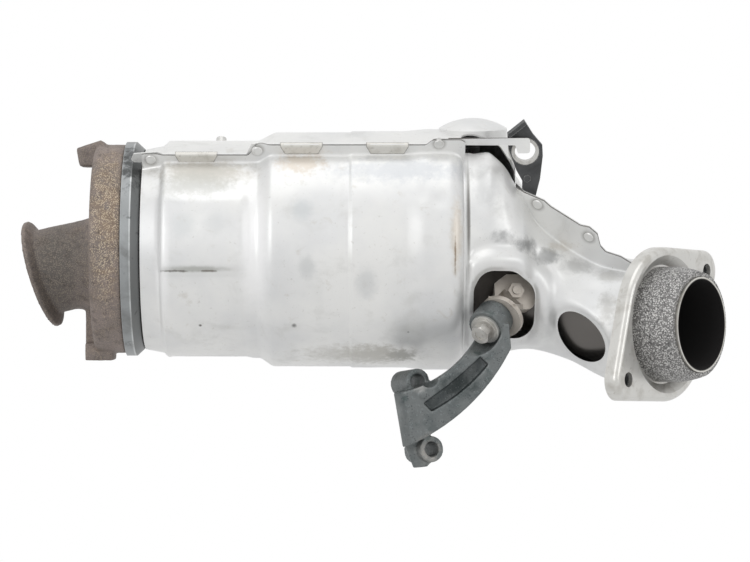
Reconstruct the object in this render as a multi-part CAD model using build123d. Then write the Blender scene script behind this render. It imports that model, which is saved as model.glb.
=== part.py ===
from build123d import *
from math import asin, atan2, cos, degrees, hypot, radians, sin
import os

# Diesel particulate filter with its inlet casting, heat shields, outlet and support arm.
# The can's axis lies along X, the outlet at +X, and +Z is up. While the pieces are made, x = 0 is
# near the middle of the can and y = z = 0 is its axis. They are written out with the origin
# at the centre of the inlet flange's face.

# Clearances and walls. A cut runs this far past the face that it opens, and a long one right through
FIT = 0.3
CUT_PAST = 1.0
CUT_THROUGH = 60.0
CAN_WALL = 1.5
SHIELD_WALL = 0.8
MAT_THICKNESS = 4.0

# Bricks, and the can around them
OXIDATION_R = 67.3
OXIDATION_START = -160.0
OXIDATION_LENGTH = 70.0
FILTER_R = 71.9
FILTER_START = -60.0
FILTER_LENGTH = 112.0
CAN_START = -183.0
CAN_END = 57.0
CAN_STEP_LENGTH = 8.0
CAN_STEP_GAP = 1.0
can_front_r = OXIDATION_R + 2 * FIT + MAT_THICKNESS + CAN_WALL
can_rear_r = FILTER_R + 2 * FIT + MAT_THICKNESS + CAN_WALL
can_step_end = FILTER_START - CAN_STEP_GAP
can_step_start = can_step_end - CAN_STEP_LENGTH

# Joint ring between the casting and the can
RING_PROUD = 6.7
RING_END_PROUD = 1.1
RING_LAND = 7.3
RING_CHAMFER = 6.0
RING_SHOULDER = 2.3
ring_r = can_front_r + RING_PROUD
ring_end_r = can_front_r + RING_END_PROUD
ring_start = CAN_START - RING_SHOULDER
ring_end = ring_start + RING_LAND + RING_CHAMFER

# Inlet casting
CAST_PROUD = 4.6
cast_r = can_front_r + CAST_PROUD
CAST_LENGTH = 23.2
CAST_END_WALL = 7.0
CAST_SIDE_WALL = 12.0
CAST_EDGE_FILLET = 4.0
cast_start = ring_start - CAST_LENGTH
INLET_REACH = 42.4
INLET_DROP_Z = -19.3
INLET_DROP_ANGLE = 16.8
INLET_TURN_ANGLE = 7.6
INLET_LIP_R = 40.75
INLET_LIP_LAND = 3.2
INLET_LIP_FLANK = 3.4
INLET_LIP_ROOT_R = 33.5
INLET_BORE_R = 27.5
NECK_WALL = 4.3
NECK_END_Z = -12.0
NECK_END_Y = -5.0
NECK_END_R = 35.3
NECK_FLARE = 4.5
CAVITY_FLARE = 12.0
CAVITY_LAND = 6.0
PAD_WIDTH = 26.0
PAD_REACH = 14.6
PAD_RISE = 3.0
PAD_HEIGHT = 19.7
PAD_BEVEL = 6.0
PAD_UNDERCUT = 2.4
PAD_TAIL = 8.0
PAD_CORNER_R = 3.0
pad_top = cast_r + PAD_RISE
pad_bottom = pad_top - PAD_HEIGHT
PAD_LENGTH = 18.5
PAD_HOLE_R = 4.25
PAD_HOLE_DEPTH = 15.0
PAD_HOLE_DROP = 1.0
FOOT_WIDTH = 32.0
FOOT_DROP = 5.4
FOOT_HEIGHT = 13.4
FOOT_LENGTH = 21.0
FOOT_REACH = 7.5
FOOT_RIB_WIDTH = 22.0
FOOT_RIB_INSET = 2.0

# Heat shield of the can
SHIELD_FRONT_GAP = 7.6
SHIELD_REAR_GAP = 10.2
shield_front_r = can_front_r + SHIELD_FRONT_GAP
shield_rear_r = can_rear_r + SHIELD_REAR_GAP
SHIELD_BEAD_RISE = 1.5
SHIELD_RIM_LENGTH = 13.2
SHIELD_RIM_RISE = 2.6
SHIELD_RIM_STEP = 4.5
SHIELD_SLOPE_START = -87.0
SHIELD_SLOPE_LENGTH = 12.5
SHIELD_BEAD_START = 22.0
SHIELD_BEAD_SLOPE = 15.0
SHIELD_BEAD_END = 53.0
SHIELD_END = 66.0
SHIELD_LIP_LENGTH = 2.0
SHIELD_STEP_LINE = -18.8
SHIELD_STEP_HEIGHT = 0.9
SHIELD_REAR_END = 103.0
SHIELD_REAR_ROUND = 22.0
SHIELD_REAR_TURN_IN = 6.0
SHIELD_START_GAP = 1.0
DOME_X = 73.0
DOME_R = 27.0
DOME_RISE = 8.6
DOME_SKIRT_R = 25.5
DOME_SKIRT_DEPTH = 16.0
DOME_TILT = 8.0
shield_start = ring_end + SHIELD_START_GAP

# Field pressed outwards on the front half, between two angles from the seam
PANEL_START = -157.5
PANEL_END = -92.5
PANEL_RISE = 1.6
PANEL_SLOPE = 4.0
PANEL_TOP_TURN = 24.0
PANEL_BOTTOM_TURN = 62.0

# Seam of the shields: its plane leans this far from upright, towards the front
SEAM_LEAN = 38.6
SEAM_WIDTH = 8.0
SEAM_ROOM = 300.0
TAB_CENTRES = (-131.0, -53.8, 9.1)
TAB_WIDTH = 31.0
TAB_DEPTH = 6.5
TAB_TAPER = 3.0
EAR_RISE = 5.0
RIVET_HEAD_R = 4.2
RIVET_HEAD_HEIGHT = 1.3
RIVET_SHANK_R = 2.4
RIVET_X = (-164.6, -86.2, 46.8)
RIVET_PROUD = (3.2, 7.5, 7.5)

# Outlet shield: section centres, radii and turns towards the front
COLLAR_START = 49.0
OUTLET_SECTIONS = (
    (90.0, -1.0, -4.0, 74.0, 0.0),
    (107.0, -4.0, -11.0, 63.5, 0.0),
    (122.0, -6.5, -24.0, 51.0, 4.0),
    (146.0, -10.0, -37.0, 45.5, 8.0),
    (175.0, -18.0, -51.0, 45.5, 20.0),
)
OUTLET_SHIELD_END_R = 46.0
SECTION_STEPS = 2
OUTLET_SHIELD_BACK = 14.0
SEAM_BEND = (110.0, -11.0)
SEAM_TAIL = (225.0, -70.3)
BODY_SEAM = ((-SEAM_ROOM, 0.0), (SEAM_ROOM, 0.0))
OUTLET_SEAM_FRONT = (
    (-SEAM_ROOM, 0.0), (40.0, 0.0), (58.0, 16.0), (84.0, 13.0), SEAM_BEND, SEAM_TAIL, (SEAM_ROOM, SEAM_TAIL[1]),
)
OUTLET_SEAM_REAR = (
    (-SEAM_ROOM, 0.0), (60.0, 0.0), (64.0, 24.0), (88.0, 22.0), SEAM_BEND, SEAM_TAIL, (SEAM_ROOM, SEAM_TAIL[1]),
)
OUTLET_RIVETS = ((120.0, 55.0), (157.4, 39.6))
OUTLET_SEAM_TOP = (
    (104.0, 63.0), (124.0, 60.0), (129.3, 56.3), (150.6, 47.7), (157.0, 48.5), (163.0, 44.5),
    (165.5, 34.5), (169.5, 30.6), (180.0, 30.4), (192.0, 26.0),
)

# Window and oval hole in the outlet shield
WINDOW = ((71.8, -30.0), (78.5, -16.6), (102.0, -16.9), (117.5, -29.0), (116.5, -66.5), (71.8, -66.5))
WINDOW_R = 8.0
WINDOW_FIELD = ((69.5, -4.0), (84.0, -6.5), (114.0, -12.5), (127.5, -25.0), (125.5, -80.0), (69.5, -80.0))
WINDOW_FIELD_R = 6.0
WINDOW_FIELD_RISE = 2.4
LIP_DEPTH = 3.6
OVAL_X = 151.4
OVAL_Z = -65.1
OVAL_LENGTH = 44.0
OVAL_WIDTH = 25.6
OVAL_TILT = -50.0

# Outlet cone, pipe, flange and gasket
PIPE_R = 35.0
PIPE_WALL = 1.85
PIPE_START = (118.0, -7.0, -25.0)
PIPE_CORNER = (178.0, -12.0, -56.1)
PIPE_BEND_R = 60.0
CONE_MIDDLE = (90.0, -2.5, -10.0)
CONE_MIDDLE_R = 57.0
FLANGE_DISTANCE = 47.6
FLANGE_TURN = 36.05
FLANGE_PLATE = 3.0
FLANGE_SKIRT = 11.0
FLANGE_WAIST_R = 57.0
FLANGE_EAR_R = 15.5
FLANGE_EDGE_R = 4.0
BOLT_U = 56.0
BOLT_V = 39.5
BOLT_HOLE_R = 5.5
RECESS_R = 51.0
RECESS_FLOOR_R = 44.0
RECESS_DEPTH = 6.0
PIPE_PROUD = 28.3
DONUT_R = 42.5
DONUT_END_R = 38.7
DONUT_SETBACK = 1.8
DONUT_LAND = 13.0
NUT_FLATS = 17.0
NUT_HOLE_R = 4.6

# Hanger in the window, arm bolt and support arm
BOSS_X = 84.3
BOSS_Y = -74.0
BOSS_Z = -54.2
BOSS_AXIS = (-0.47, -0.70, -0.53)
BOSS_R = 14.0
BOSS_FRONT = 8.0
BOSS_BACK = 8.5
EAR_PLATE = 4.0
EAR_PLATE_R = 16.5
EAR_SHIFT = 3.5
EAR_ROOM = 2.0
WASHER_ROOM = 1.5
HANGER_PAD_CENTRE = (102.5, -51.5, -32.0)
HANGER_PAD_NORMAL = (0.2, -0.94, 0.2)
HANGER_STUD_R = 3.0
HANGER_NUT_FLATS = 10.5
HANGER_NUT_HEIGHT = 5.5
ARM_BOLT_R = 4.0
ARM_BOLT_FLATS = 13.0
ARM_BOLT_HEAD = 6.5
ARM_BOLT_FLANGE_R = 9.5
ARM_BOLT_FLANGE = 1.6
ARM_WASHER_R = 11.0
ARM_WASHER = 2.0
ARM_FRONT_Y = -86.0
ARM_BACK_Y = -65.0
ARM_POCKET_DEPTH = 11.0
LUG_AXIS = (0.453, -0.886, 0.1)
LUG_R = 9.6
LUG_HOLE_R = 5.5
LUG_LENGTH = 26.0
LUG_TOP = (31.5, -70.0, -97.4)
LUG_BOTTOM = (41.5, -70.0, -146.5)

ARM_FOOT_TOP = (13.6, -105.5)
ARM_FOOT_BOTTOM = (20.3, -144.9)
ARM_INNER_MIDDLE = (45.0, -94.5)
ARM_INNER_END = (72.0, -68.0)
ARM_TOP_LEFT = (78.0, -56.0)
ARM_TOP_RIGHT = (97.0, -55.0)
ARM_OUTER_END = (98.6, -72.7)
ARM_OUTER_MIDDLE = (70.0, -112.5)
ARM_FOOT_CHAMFER = 7.5
LUG_BACK_Y = -51.0
FOOT_BLOCK = ((15.0, -106.0), (38.0, -98.0), (41.0, -136.0), (21.0, -143.5))
LUG_NECK = ((21.5, -143.0), (40.0, -136.0), (47.0, -150.0), (38.0, -159.5), (28.0, -160.5))
POCKET_TOP = (76.0, -79.0)
POCKET_UPPER_MIDDLE = (56.0, -97.0)
POCKET_TIP = (35.0, -112.5)
POCKET_TIP_LOW = (41.0, -118.5)
POCKET_LOWER_MIDDLE = (64.0, -103.0)
POCKET_TOP_LOW = (82.0, -84.5)
PIP_X = 35.0
PIP_Z = -106.5
PIP_R = 2.6
PIP_HEIGHT = 1.2
HANGER_FOOT = 14.0
PAD_PLATE_LENGTH = 30.0
PAD_PLATE_WIDTH = 26.0
PAD_PLATE_R = 6.0
WEB_WIDTH = 22.0
WEB_SHIFT = 4.0
WELD_NUT_HEIGHT = 6.5
WELD_NUT_ROOM_R = 8.5

# Stay plate, its collar and the strip
STAY_PIP_U = -0.9
STAY_PIP_V = 9.8
COLLAR_LIP = 2.0
STRIP_PAD_U = -1.2
STRIP_PAD_RISE = 5.1
STAY_LEAN = 16.0
STAY_X = 113.0
STAY_Y = -41.0
STAY_Z = 42.0
STAY_THICKNESS = 3.0
STAY_OUTLINE = (
    (-16.0, 44.0), (-3.8, 54.0), (2.9, 43.3), (9.9, 35.0), (10.4, 27.0), (8.6, 9.5), (5.7, -3.0), (3.0, -16.0),
    (-4.5, -16.0), (-4.5, 8.0), (-9.0, 16.0), (-15.0, 32.0),
)
STAY_RIM = 5.0
STAY_HOLE_U = -2.6
STAY_HOLE_V = 30.2
STAY_HOLE_R = 10.3
COLLAR_WALL = 2.4
COLLAR_LENGTH = 6.0
STRIP_WIDTH = 5.5
STRIP_THICKNESS = 1.5
STRIP_START = 53.5
STRIP_STRAIGHT_END = 62.0
STRIP_PAD_LENGTH = 18.5
STRIP_PAD_HEIGHT = 11.5

# Sensor boss and pressure taps on the far side
SENSOR_X = -81.0
SENSOR_ANGLE = -62.0
SENSOR_BOSS_R = 11.0
SENSOR_BOSS_CHAMFER = 1.0
SENSOR_BORE_R = 6.2
SENSOR_PROUD = 4.0
TAP_X = (-118.0, 40.0)
TAP_ANGLE = -35.0
TAP_R = 7.0
TAP_BORE_R = 2.5
TAP_TUBE_R = 4.0
TAP_TUBE_LENGTH = 16.0
SHIELD_HOLE_ROOM = 2.5

# Directions worked out from the sizes
inlet_axis = Vector(
    -cos(radians(INLET_DROP_ANGLE)) * cos(radians(INLET_TURN_ANGLE)),
    cos(radians(INLET_DROP_ANGLE)) * sin(radians(INLET_TURN_ANGLE)),
    -sin(radians(INLET_DROP_ANGLE)),
)
inlet_centre = Vector(cast_start - INLET_REACH, 0, INLET_DROP_Z)
outlet_axis = Vector(cos(radians(FLANGE_TURN)), -sin(radians(FLANGE_TURN)), 0)
outlet_across = Vector(sin(radians(FLANGE_TURN)), cos(radians(FLANGE_TURN)), 0)
flange_centre = Vector(*PIPE_CORNER) + outlet_axis * FLANGE_DISTANCE
flange_plane = Plane(origin=flange_centre, x_dir=outlet_across, z_dir=outlet_axis)
boss_axis = Vector(*BOSS_AXIS).normalized()
boss_centre = Vector(BOSS_X, BOSS_Y, BOSS_Z)
seam_turn = Rot(X=SEAM_LEAN)


def along_x(x, y=0.0, z=0.0, turn=0.0):
    """Plane square to the can's axis at x, turned towards the front by turn degrees."""
    normal = Vector(cos(radians(turn)), -sin(radians(turn)), 0)
    return Plane(origin=(x, y, z), x_dir=(sin(radians(turn)), cos(radians(turn)), 0), z_dir=normal)


def turned(points):
    """Solid of revolution about the X axis from (x, radius) points."""
    face = make_face(Polyline([(x, 0, r) for x, r in points], close=True))
    return revolve(face, Axis.X, 360)


def on_axis(plane, points):
    """Solid of revolution about a plane's own axis from (radius, height) points."""
    face = make_face(Polyline([(r, 0, h) for r, h in points], close=True))
    return plane.location * revolve(face, Axis.Z, 360)


def cylinder_from(point, axis, radius, length):
    """Round bar from a point, along an axis."""
    plane = Plane(origin=point, z_dir=axis)
    return extrude(plane * Circle(radius), length)


def prism(plane, points, depth, both=False):
    """Straight-sided solid over a polygon in a plane."""
    return extrude(plane * make_face(Polyline(points, close=True)), depth, both=both)


def rounded_outline(points, radius, grow):
    """Polygon with rounded corners, grown outwards all round."""
    outline = make_face(Polyline(points, close=True))
    outline = fillet(outline.vertices(), radius)
    return offset(outline, grow) if grow else outline


def brick(radius, start, length):
    return extrude(along_x(start) * Circle(radius), length)


def sleeve(inner, outer, start, length):
    ring = Circle(outer) - Circle(inner)
    return extrude(along_x(start) * ring, length)


# Bricks and can

def make_oxidation_brick():
    return brick(OXIDATION_R, OXIDATION_START, OXIDATION_LENGTH)


def make_oxidation_mat():
    inner = OXIDATION_R + FIT
    return sleeve(inner, inner + MAT_THICKNESS, OXIDATION_START, OXIDATION_LENGTH)


def make_filter_brick():
    return brick(FILTER_R, FILTER_START, FILTER_LENGTH)


def make_filter_mat():
    inner = FILTER_R + FIT
    return sleeve(inner, inner + MAT_THICKNESS, FILTER_START, FILTER_LENGTH)


def sensor_direction(angle):
    """Direction away from the can's axis; 0 is up and a negative angle leans to the far side."""
    return Vector(0, -sin(radians(angle)), cos(radians(angle)))


def radial_bar(x, angle, radius, start, length):
    direction = sensor_direction(angle)
    return cylinder_from(Vector(x, 0, 0) + direction * start, direction, radius, length)


def make_can_shell():
    inner_front = can_front_r - CAN_WALL
    inner_rear = can_rear_r - CAN_WALL
    wall = turned([
        (CAN_START, can_front_r), (can_step_start, can_front_r), (can_step_end, can_rear_r),
        (CAN_END, can_rear_r), (CAN_END, inner_rear), (can_step_end, inner_rear),
        (can_step_start, inner_front), (CAN_START, inner_front),
    ])
    wall -= radial_bar(SENSOR_X, SENSOR_ANGLE, SENSOR_BORE_R + FIT, OXIDATION_R, shield_rear_r)
    for x in TAP_X:
        wall -= radial_bar(x, TAP_ANGLE, TAP_BORE_R, OXIDATION_R, shield_rear_r)
    return wall


def make_joint_ring():
    shell_seat = can_front_r + FIT
    shoulder_r = can_front_r - 2 * CAN_WALL
    return turned([
        (ring_start, ring_r), (ring_start + RING_LAND, ring_r), (ring_end, ring_end_r), (ring_end, shell_seat),
        (CAN_START, shell_seat), (CAN_START, shoulder_r), (ring_start, shoulder_r),
    ])


def can_below(x):
    """Radius of the can's outside at x."""
    if x <= can_step_start:
        return can_front_r
    if x >= can_step_end:
        return can_rear_r
    share = (x - can_step_start) / CAN_STEP_LENGTH
    return can_front_r + share * (can_rear_r - can_front_r)


def clear_of_can(shape):
    """Takes the can's outside, with its clearance, out of a boss that is welded on it."""
    solid_can = turned([
        (CAN_START, 0), (CAN_START, can_front_r + FIT), (can_step_start, can_front_r + FIT),
        (can_step_end, can_rear_r + FIT), (CAN_END, can_rear_r + FIT), (CAN_END, 0),
    ])
    return shape - solid_can


def make_temp_sensor_boss():
    top = shield_rear_r + SENSOR_PROUD
    boss = radial_bar(SENSOR_X, SENSOR_ANGLE, SENSOR_BOSS_R, OXIDATION_R, top - OXIDATION_R)
    outward = Axis((0, 0, 0), sensor_direction(SENSOR_ANGLE))
    boss = chamfer(boss.edges().group_by(outward)[-1], SENSOR_BOSS_CHAMFER)
    boss = clear_of_can(boss)
    return boss - radial_bar(SENSOR_X, SENSOR_ANGLE, SENSOR_BORE_R, OXIDATION_R, top)


def make_pressure_tap(x):
    top = can_below(x) + (shield_rear_r - can_rear_r) + SENSOR_PROUD
    tap = radial_bar(x, TAP_ANGLE, TAP_R, OXIDATION_R, top - OXIDATION_R)
    tap += radial_bar(x, TAP_ANGLE, TAP_TUBE_R, top, TAP_TUBE_LENGTH)
    tap = clear_of_can(tap)
    return tap - radial_bar(x, TAP_ANGLE, TAP_BORE_R, OXIDATION_R, top + TAP_TUBE_LENGTH)


# Inlet casting

def neck_section(distance, radius):
    """Round section of the neck, a distance back from the inlet flange's face."""
    return Plane(origin=inlet_centre - inlet_axis * distance, z_dir=inlet_axis) * Circle(radius)


def neck_end(x, radius):
    return Plane(origin=(x, NECK_END_Y, NECK_END_Z), z_dir=(-1, 0, 0)) * Circle(radius)


def casting_pad():
    """Bolting pad on top of the casting, which stands out past its face."""
    pad_end = cast_start - PAD_REACH
    pad = prism(upright(), [
        (pad_end, pad_top - PAD_BEVEL), (pad_end + PAD_UNDERCUT, pad_bottom), (pad_end + PAD_LENGTH, pad_bottom),
        (pad_end + PAD_LENGTH + PAD_TAIL, cast_r - PAD_RISE), (pad_end + PAD_LENGTH, pad_top),
    ], PAD_WIDTH / 2, both=True)
    return fillet(pad.edges().filter_by(Axis.Z, tolerance=20).group_by(Axis.X)[0], PAD_CORNER_R)


def casting_foot():
    """Foot under the casting, and the rib that joins it to the neck."""
    start = cast_start - FOOT_REACH
    bottom = -cast_r - FOOT_DROP
    foot = prism(upright(), [
        (start, bottom), (start, bottom + FOOT_HEIGHT), (start + FOOT_LENGTH, bottom + FOOT_HEIGHT),
        (start + FOOT_LENGTH, bottom),
    ], FOOT_WIDTH / 2, both=True)
    rib_top = NECK_END_Z - NECK_END_R + NECK_WALL
    rib_end = cast_start + CAST_END_WALL / 2
    rib = prism(upright(), [
        (start, bottom + FOOT_RIB_INSET), (start, rib_top), (rib_end, rib_top), (rib_end, bottom + FOOT_RIB_INSET),
    ], FOOT_RIB_WIDTH / 2, both=True)
    return foot + rib


def make_inlet_casting():
    cavity_r = cast_r - CAST_SIDE_WALL
    end_wall = cast_start + CAST_END_WALL
    body = turned([(cast_start, 0), (cast_start, cast_r), (ring_start, cast_r), (ring_start, 0)])
    body = fillet(body.edges().filter_by(GeomType.CIRCLE).group_by(Axis.X)[0], CAST_EDGE_FILLET)
    neck_r = INLET_BORE_R + NECK_WALL
    lip_depth = INLET_LIP_LAND + INLET_LIP_FLANK
    neck = loft([
        neck_section(lip_depth / 2, neck_r),
        neck_section(lip_depth * 2, neck_r + 0.4),
        neck_end(cast_start - NECK_FLARE, NECK_END_R),
        neck_end(cast_start + CAST_EDGE_FILLET, NECK_END_R + NECK_FLARE),
    ])
    lip = on_axis(Plane(origin=inlet_centre, z_dir=inlet_axis), [
        (0, 0), (INLET_LIP_R, 0), (INLET_LIP_R, -INLET_LIP_LAND), (INLET_LIP_ROOT_R, -lip_depth), (0, -lip_depth),
    ])
    casting = body + neck + lip + casting_pad() + casting_foot()
    bore = loft([
        neck_section(-CUT_PAST, INLET_BORE_R),
        neck_section(lip_depth * 2, INLET_BORE_R),
        neck_end(end_wall + CUT_PAST, NECK_END_R - NECK_WALL),
    ])
    cavity = turned([
        (end_wall, 0), (end_wall, NECK_END_R + CAVITY_FLARE), (ring_start - CAVITY_LAND, cavity_r),
        (ring_start + CUT_PAST, cavity_r), (ring_start + CUT_PAST, 0),
    ])
    casting -= bore
    casting -= cavity
    hole_start = Vector(cast_start - PAD_REACH - CUT_PAST, 0, (pad_top + pad_bottom) / 2 - PAD_HOLE_DROP)
    return casting - cylinder_from(hole_start, (1, 0, 0), PAD_HOLE_R, PAD_HOLE_DEPTH + CUT_PAST)


# Outlet cone and pipe

def pipe_path():
    end = flange_centre + outlet_axis * PIPE_PROUD
    return FilletPolyline([Vector(*PIPE_START), Vector(*PIPE_CORNER), end], radius=PIPE_BEND_R)


def pipe_direction():
    return (Vector(*PIPE_CORNER) - Vector(*PIPE_START)).normalized()


def cone_body(inset):
    start = Vector(*PIPE_START)
    direction = pipe_direction()
    middle = Plane(origin=CONE_MIDDLE, z_dir=Vector(1, 0, 0) + direction)
    return loft([
        along_x(CAN_END) * Circle(can_rear_r - inset),
        along_x(CAN_END + 5) * Circle(can_rear_r - 1 - inset),
        middle * Circle(CONE_MIDDLE_R - inset),
        Plane(origin=start, z_dir=direction) * Circle(PIPE_R - inset),
    ])


def make_outlet_cone():
    return cone_body(0) - cone_body(CAN_WALL)


def pipe_swept(section):
    return sweep(Plane(origin=PIPE_START, z_dir=pipe_direction()) * section, path=pipe_path())


def make_outlet_pipe():
    return pipe_swept(Circle(PIPE_R) - Circle(PIPE_R - PIPE_WALL))


# Outlet flange, its nuts and the gasket

def flange_outline():
    """Round waist and two ears, joined by straight sides that touch both."""
    reach = hypot(BOLT_U, BOLT_V)
    lean = asin((FLANGE_WAIST_R - FLANGE_EAR_R) / reach)
    along = atan2(BOLT_V, BOLT_U)
    outline = Circle(FLANGE_WAIST_R)
    for turn in (0, radians(180)):
        centre = Vector(reach * cos(along + turn), reach * sin(along + turn))
        corners = [Vector(0, 0)]
        for side in (1, -1):
            angle = along + turn + side * (radians(90) - lean)
            normal = Vector(cos(angle), sin(angle))
            points = [normal * FLANGE_WAIST_R, centre + normal * FLANGE_EAR_R]
            corners += points if side == 1 else [centre, points[1], points[0]]
        outline += make_face(Polyline(corners, close=True))
        outline += Pos(centre.X, centre.Y) * Circle(FLANGE_EAR_R)
    return outline


def bolt_places():
    return ((BOLT_U, BOLT_V), (-BOLT_U, -BOLT_V))


def make_outlet_flange():
    outline = flange_outline()
    plate = extrude(outline, -FLANGE_SKIRT)
    plate = fillet(plate.faces().sort_by(Axis.Z)[-1].edges(), FLANGE_EDGE_R)
    inside = Pos(0, 0, -FLANGE_PLATE) * extrude(offset(outline, -FLANGE_PLATE), FLANGE_PLATE - FLANGE_SKIRT - 1)
    plate -= inside
    cup_floor = -RECESS_DEPTH - FLANGE_PLATE
    cup = on_axis(Plane.XY, [
        (0, 0), (RECESS_R + FLANGE_PLATE, 0), (RECESS_R + FLANGE_PLATE, -FLANGE_PLATE),
        (RECESS_FLOOR_R + FLANGE_PLATE, cup_floor), (0, cup_floor),
    ])
    recess = on_axis(Plane.XY, [
        (0, 1), (RECESS_R + 1, 1), (RECESS_R, 0), (RECESS_FLOOR_R, -RECESS_DEPTH), (0, -RECESS_DEPTH),
    ])
    plate = plate + cup - recess
    plate -= Pos(0, 0, -FLANGE_SKIRT) * extrude(Circle(PIPE_R + FIT), FLANGE_SKIRT)
    for u, v in bolt_places():
        plate -= Pos(u, v, -FLANGE_SKIRT) * extrude(Circle(BOLT_HOLE_R), FLANGE_SKIRT + 1)
    return flange_plane.location * plate


def make_flange_nuts():
    nuts = []
    for u, v in bolt_places():
        section = RegularPolygon(NUT_FLATS / 2, 6, major_radius=False) - Circle(NUT_HOLE_R)
        nut = Pos(u, v, -FLANGE_SKIRT) * extrude(section, FLANGE_SKIRT - FLANGE_PLATE)
        nuts.append(flange_plane.location * nut)
    return Compound(children=nuts)


def make_donut_gasket():
    inner = PIPE_R + FIT
    top = PIPE_PROUD - DONUT_SETBACK
    land_end = DONUT_LAND - RECESS_DEPTH
    middle_h = (land_end + top) / 2
    middle_r = DONUT_R - (DONUT_R - DONUT_END_R) * 0.32
    edge = ThreePointArc((DONUT_R, 0, land_end), (middle_r, 0, middle_h), (DONUT_END_R, 0, top))
    rest = Polyline([
        (DONUT_END_R, 0, top), (inner, 0, top), (inner, 0, -RECESS_DEPTH), (DONUT_R, 0, -RECESS_DEPTH),
        (DONUT_R, 0, land_end),
    ])
    return flange_plane.location * revolve(make_face(Curve() + [edge, rest]), Axis.Z, 360)


# Heat shields

def can_shield_profile(inset, end, end_r, round_length):
    """(x, radius) points of the can's shield, inset by its wall for the inside."""
    rim_r = can_front_r + FIT + SHIELD_WALL
    low = shield_front_r
    high = shield_rear_r
    rim_end = shield_start + SHIELD_RIM_LENGTH
    slope_end = SHIELD_SLOPE_START + SHIELD_SLOPE_LENGTH
    bead = high + SHIELD_BEAD_RISE
    points = [
        (shield_start, rim_r), (rim_end, rim_r + SHIELD_RIM_RISE), (rim_end + SHIELD_RIM_STEP, low),
        (SHIELD_SLOPE_START, low), (slope_end, high - SHIELD_STEP_HEIGHT),
        (SHIELD_STEP_LINE, high - SHIELD_STEP_HEIGHT), (SHIELD_STEP_LINE + 2, high),
        (SHIELD_BEAD_START, high), (SHIELD_BEAD_START + SHIELD_BEAD_SLOPE, bead),
        (end - round_length, bead), (end - round_length * 0.45, bead - (bead - end_r) * 0.3),
        (end - round_length * 0.12, bead - (bead - end_r) * 0.75), (end, end_r),
    ]
    return [(x, r - inset) for x, r in points]


def can_shield_wall(inset, end, end_r, round_length, lip):
    points = can_shield_profile(inset, end, end_r, round_length)
    first = points[0]
    last = points[-1]
    close = [(last[0] + lip, last[1]), (last[0] + lip, 0), (first[0], 0)]
    return turned(points + close)


def collar_r():
    """Outside of the outlet shield's collar, which seats on the can."""
    return can_rear_r + FIT + SHIELD_WALL


def between(rows, steps):
    """Rows and the rows between them, on a smooth curve through all of them."""
    padded = [rows[0]] + list(rows) + [rows[-1]]
    smooth = []
    for i in range(1, len(rows)):
        before, start, end, after = padded[i - 1:i + 3]
        for step in range(steps):
            t = step / steps
            row = []
            for b, s, e, a in zip(before, start, end, after):
                bend = 2 * b - 5 * s + 4 * e - a
                row.append(0.5 * (2 * s + (e - b) * t + bend * t ** 2 + (3 * s - b - 3 * e + a) * t ** 3))
            smooth.append(row)
    return smooth + [list(rows[-1])]


def outlet_body(inset):
    """The outlet shield as a solid, from its collar to its end; inset by its wall it runs past both ends."""
    end = flange_centre - outlet_axis * (OUTLET_SHIELD_BACK - inset)
    rows = [(COLLAR_START - inset, 0, 0, collar_r(), 0), (SHIELD_END, 0, 0, collar_r(), 0)]
    rows += between([(SHIELD_END + 4, 0, 0, collar_r() - 0.3, 0)] + list(OUTLET_SECTIONS), SECTION_STEPS)
    rows.append((end.X, end.Y, end.Z, OUTLET_SHIELD_END_R, FLANGE_TURN))
    return loft([along_x(x, y, z, turn) * Circle(r - inset) for x, y, z, r, turn in rows], ruled=True)


def region(seam, shift, side):
    """Everything on one side of a seam, which is drawn in plan in the frame where it stands upright."""
    near = [(x, y + shift) for x, y in seam]
    far = side * SEAM_ROOM
    outline = make_face(Polyline(near + [(SEAM_ROOM, far), (-SEAM_ROOM, far)], close=True))
    return seam_turn * extrude(outline, SEAM_ROOM, both=True)


def body_seam_outline():
    """Outer edge of the can's seam flange, as (x, distance from the axis), with its three ears."""
    low = shield_front_r + SEAM_WIDTH
    high = shield_rear_r + SEAM_WIDTH + 1
    start = shield_start
    rivet_a, rivet_b, rivet_c = RIVET_X
    return [
        (start, ring_r + 0.6), (start - 6, ring_r + 0.6), (start - 8, ring_r + 3), (start - 6, low - 0.5),
        (rivet_a + 5, low + 1), (rivet_a + 9, low - 1), (rivet_b - 8, low - 1), (rivet_b - 4, low + 8.5),
        (rivet_b + 4, high + 1), (rivet_b + 8, high), (rivet_c - 8, high), (rivet_c - 4, high + EAR_RISE),
        (SHIELD_END - 4, high + EAR_RISE), (SHIELD_END - 4, high - 3), (SHIELD_END - 6, shield_rear_r - 4),
        (SHIELD_END - 6, FILTER_R), (start, FILTER_R),
    ]


def upright():
    """Plane of the seam flange, seen from the front: x along the can and y away from its axis."""
    return Plane(origin=(0, 0, 0), x_dir=(1, 0, 0), z_dir=(0, -1, 0))


def seam_blank(points, side):
    """Column in the upright frame over an outline; side -1 puts it on the hidden lower seam."""
    shape = prism(upright(), [(x, side * s) for x, s in points], SEAM_ROOM / 2, both=True)
    return seam_turn * shape


def rivet_points_body():
    """(x, distance from the axis) of the can's rivets."""
    lift = (shield_front_r, shield_front_r, shield_rear_r)
    lift = (lift[0] + RIVET_PROUD[0], lift[1] + RIVET_PROUD[1] + 3.5, lift[2] + RIVET_PROUD[2] + 2.5)
    return tuple(zip(RIVET_X, lift))


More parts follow.
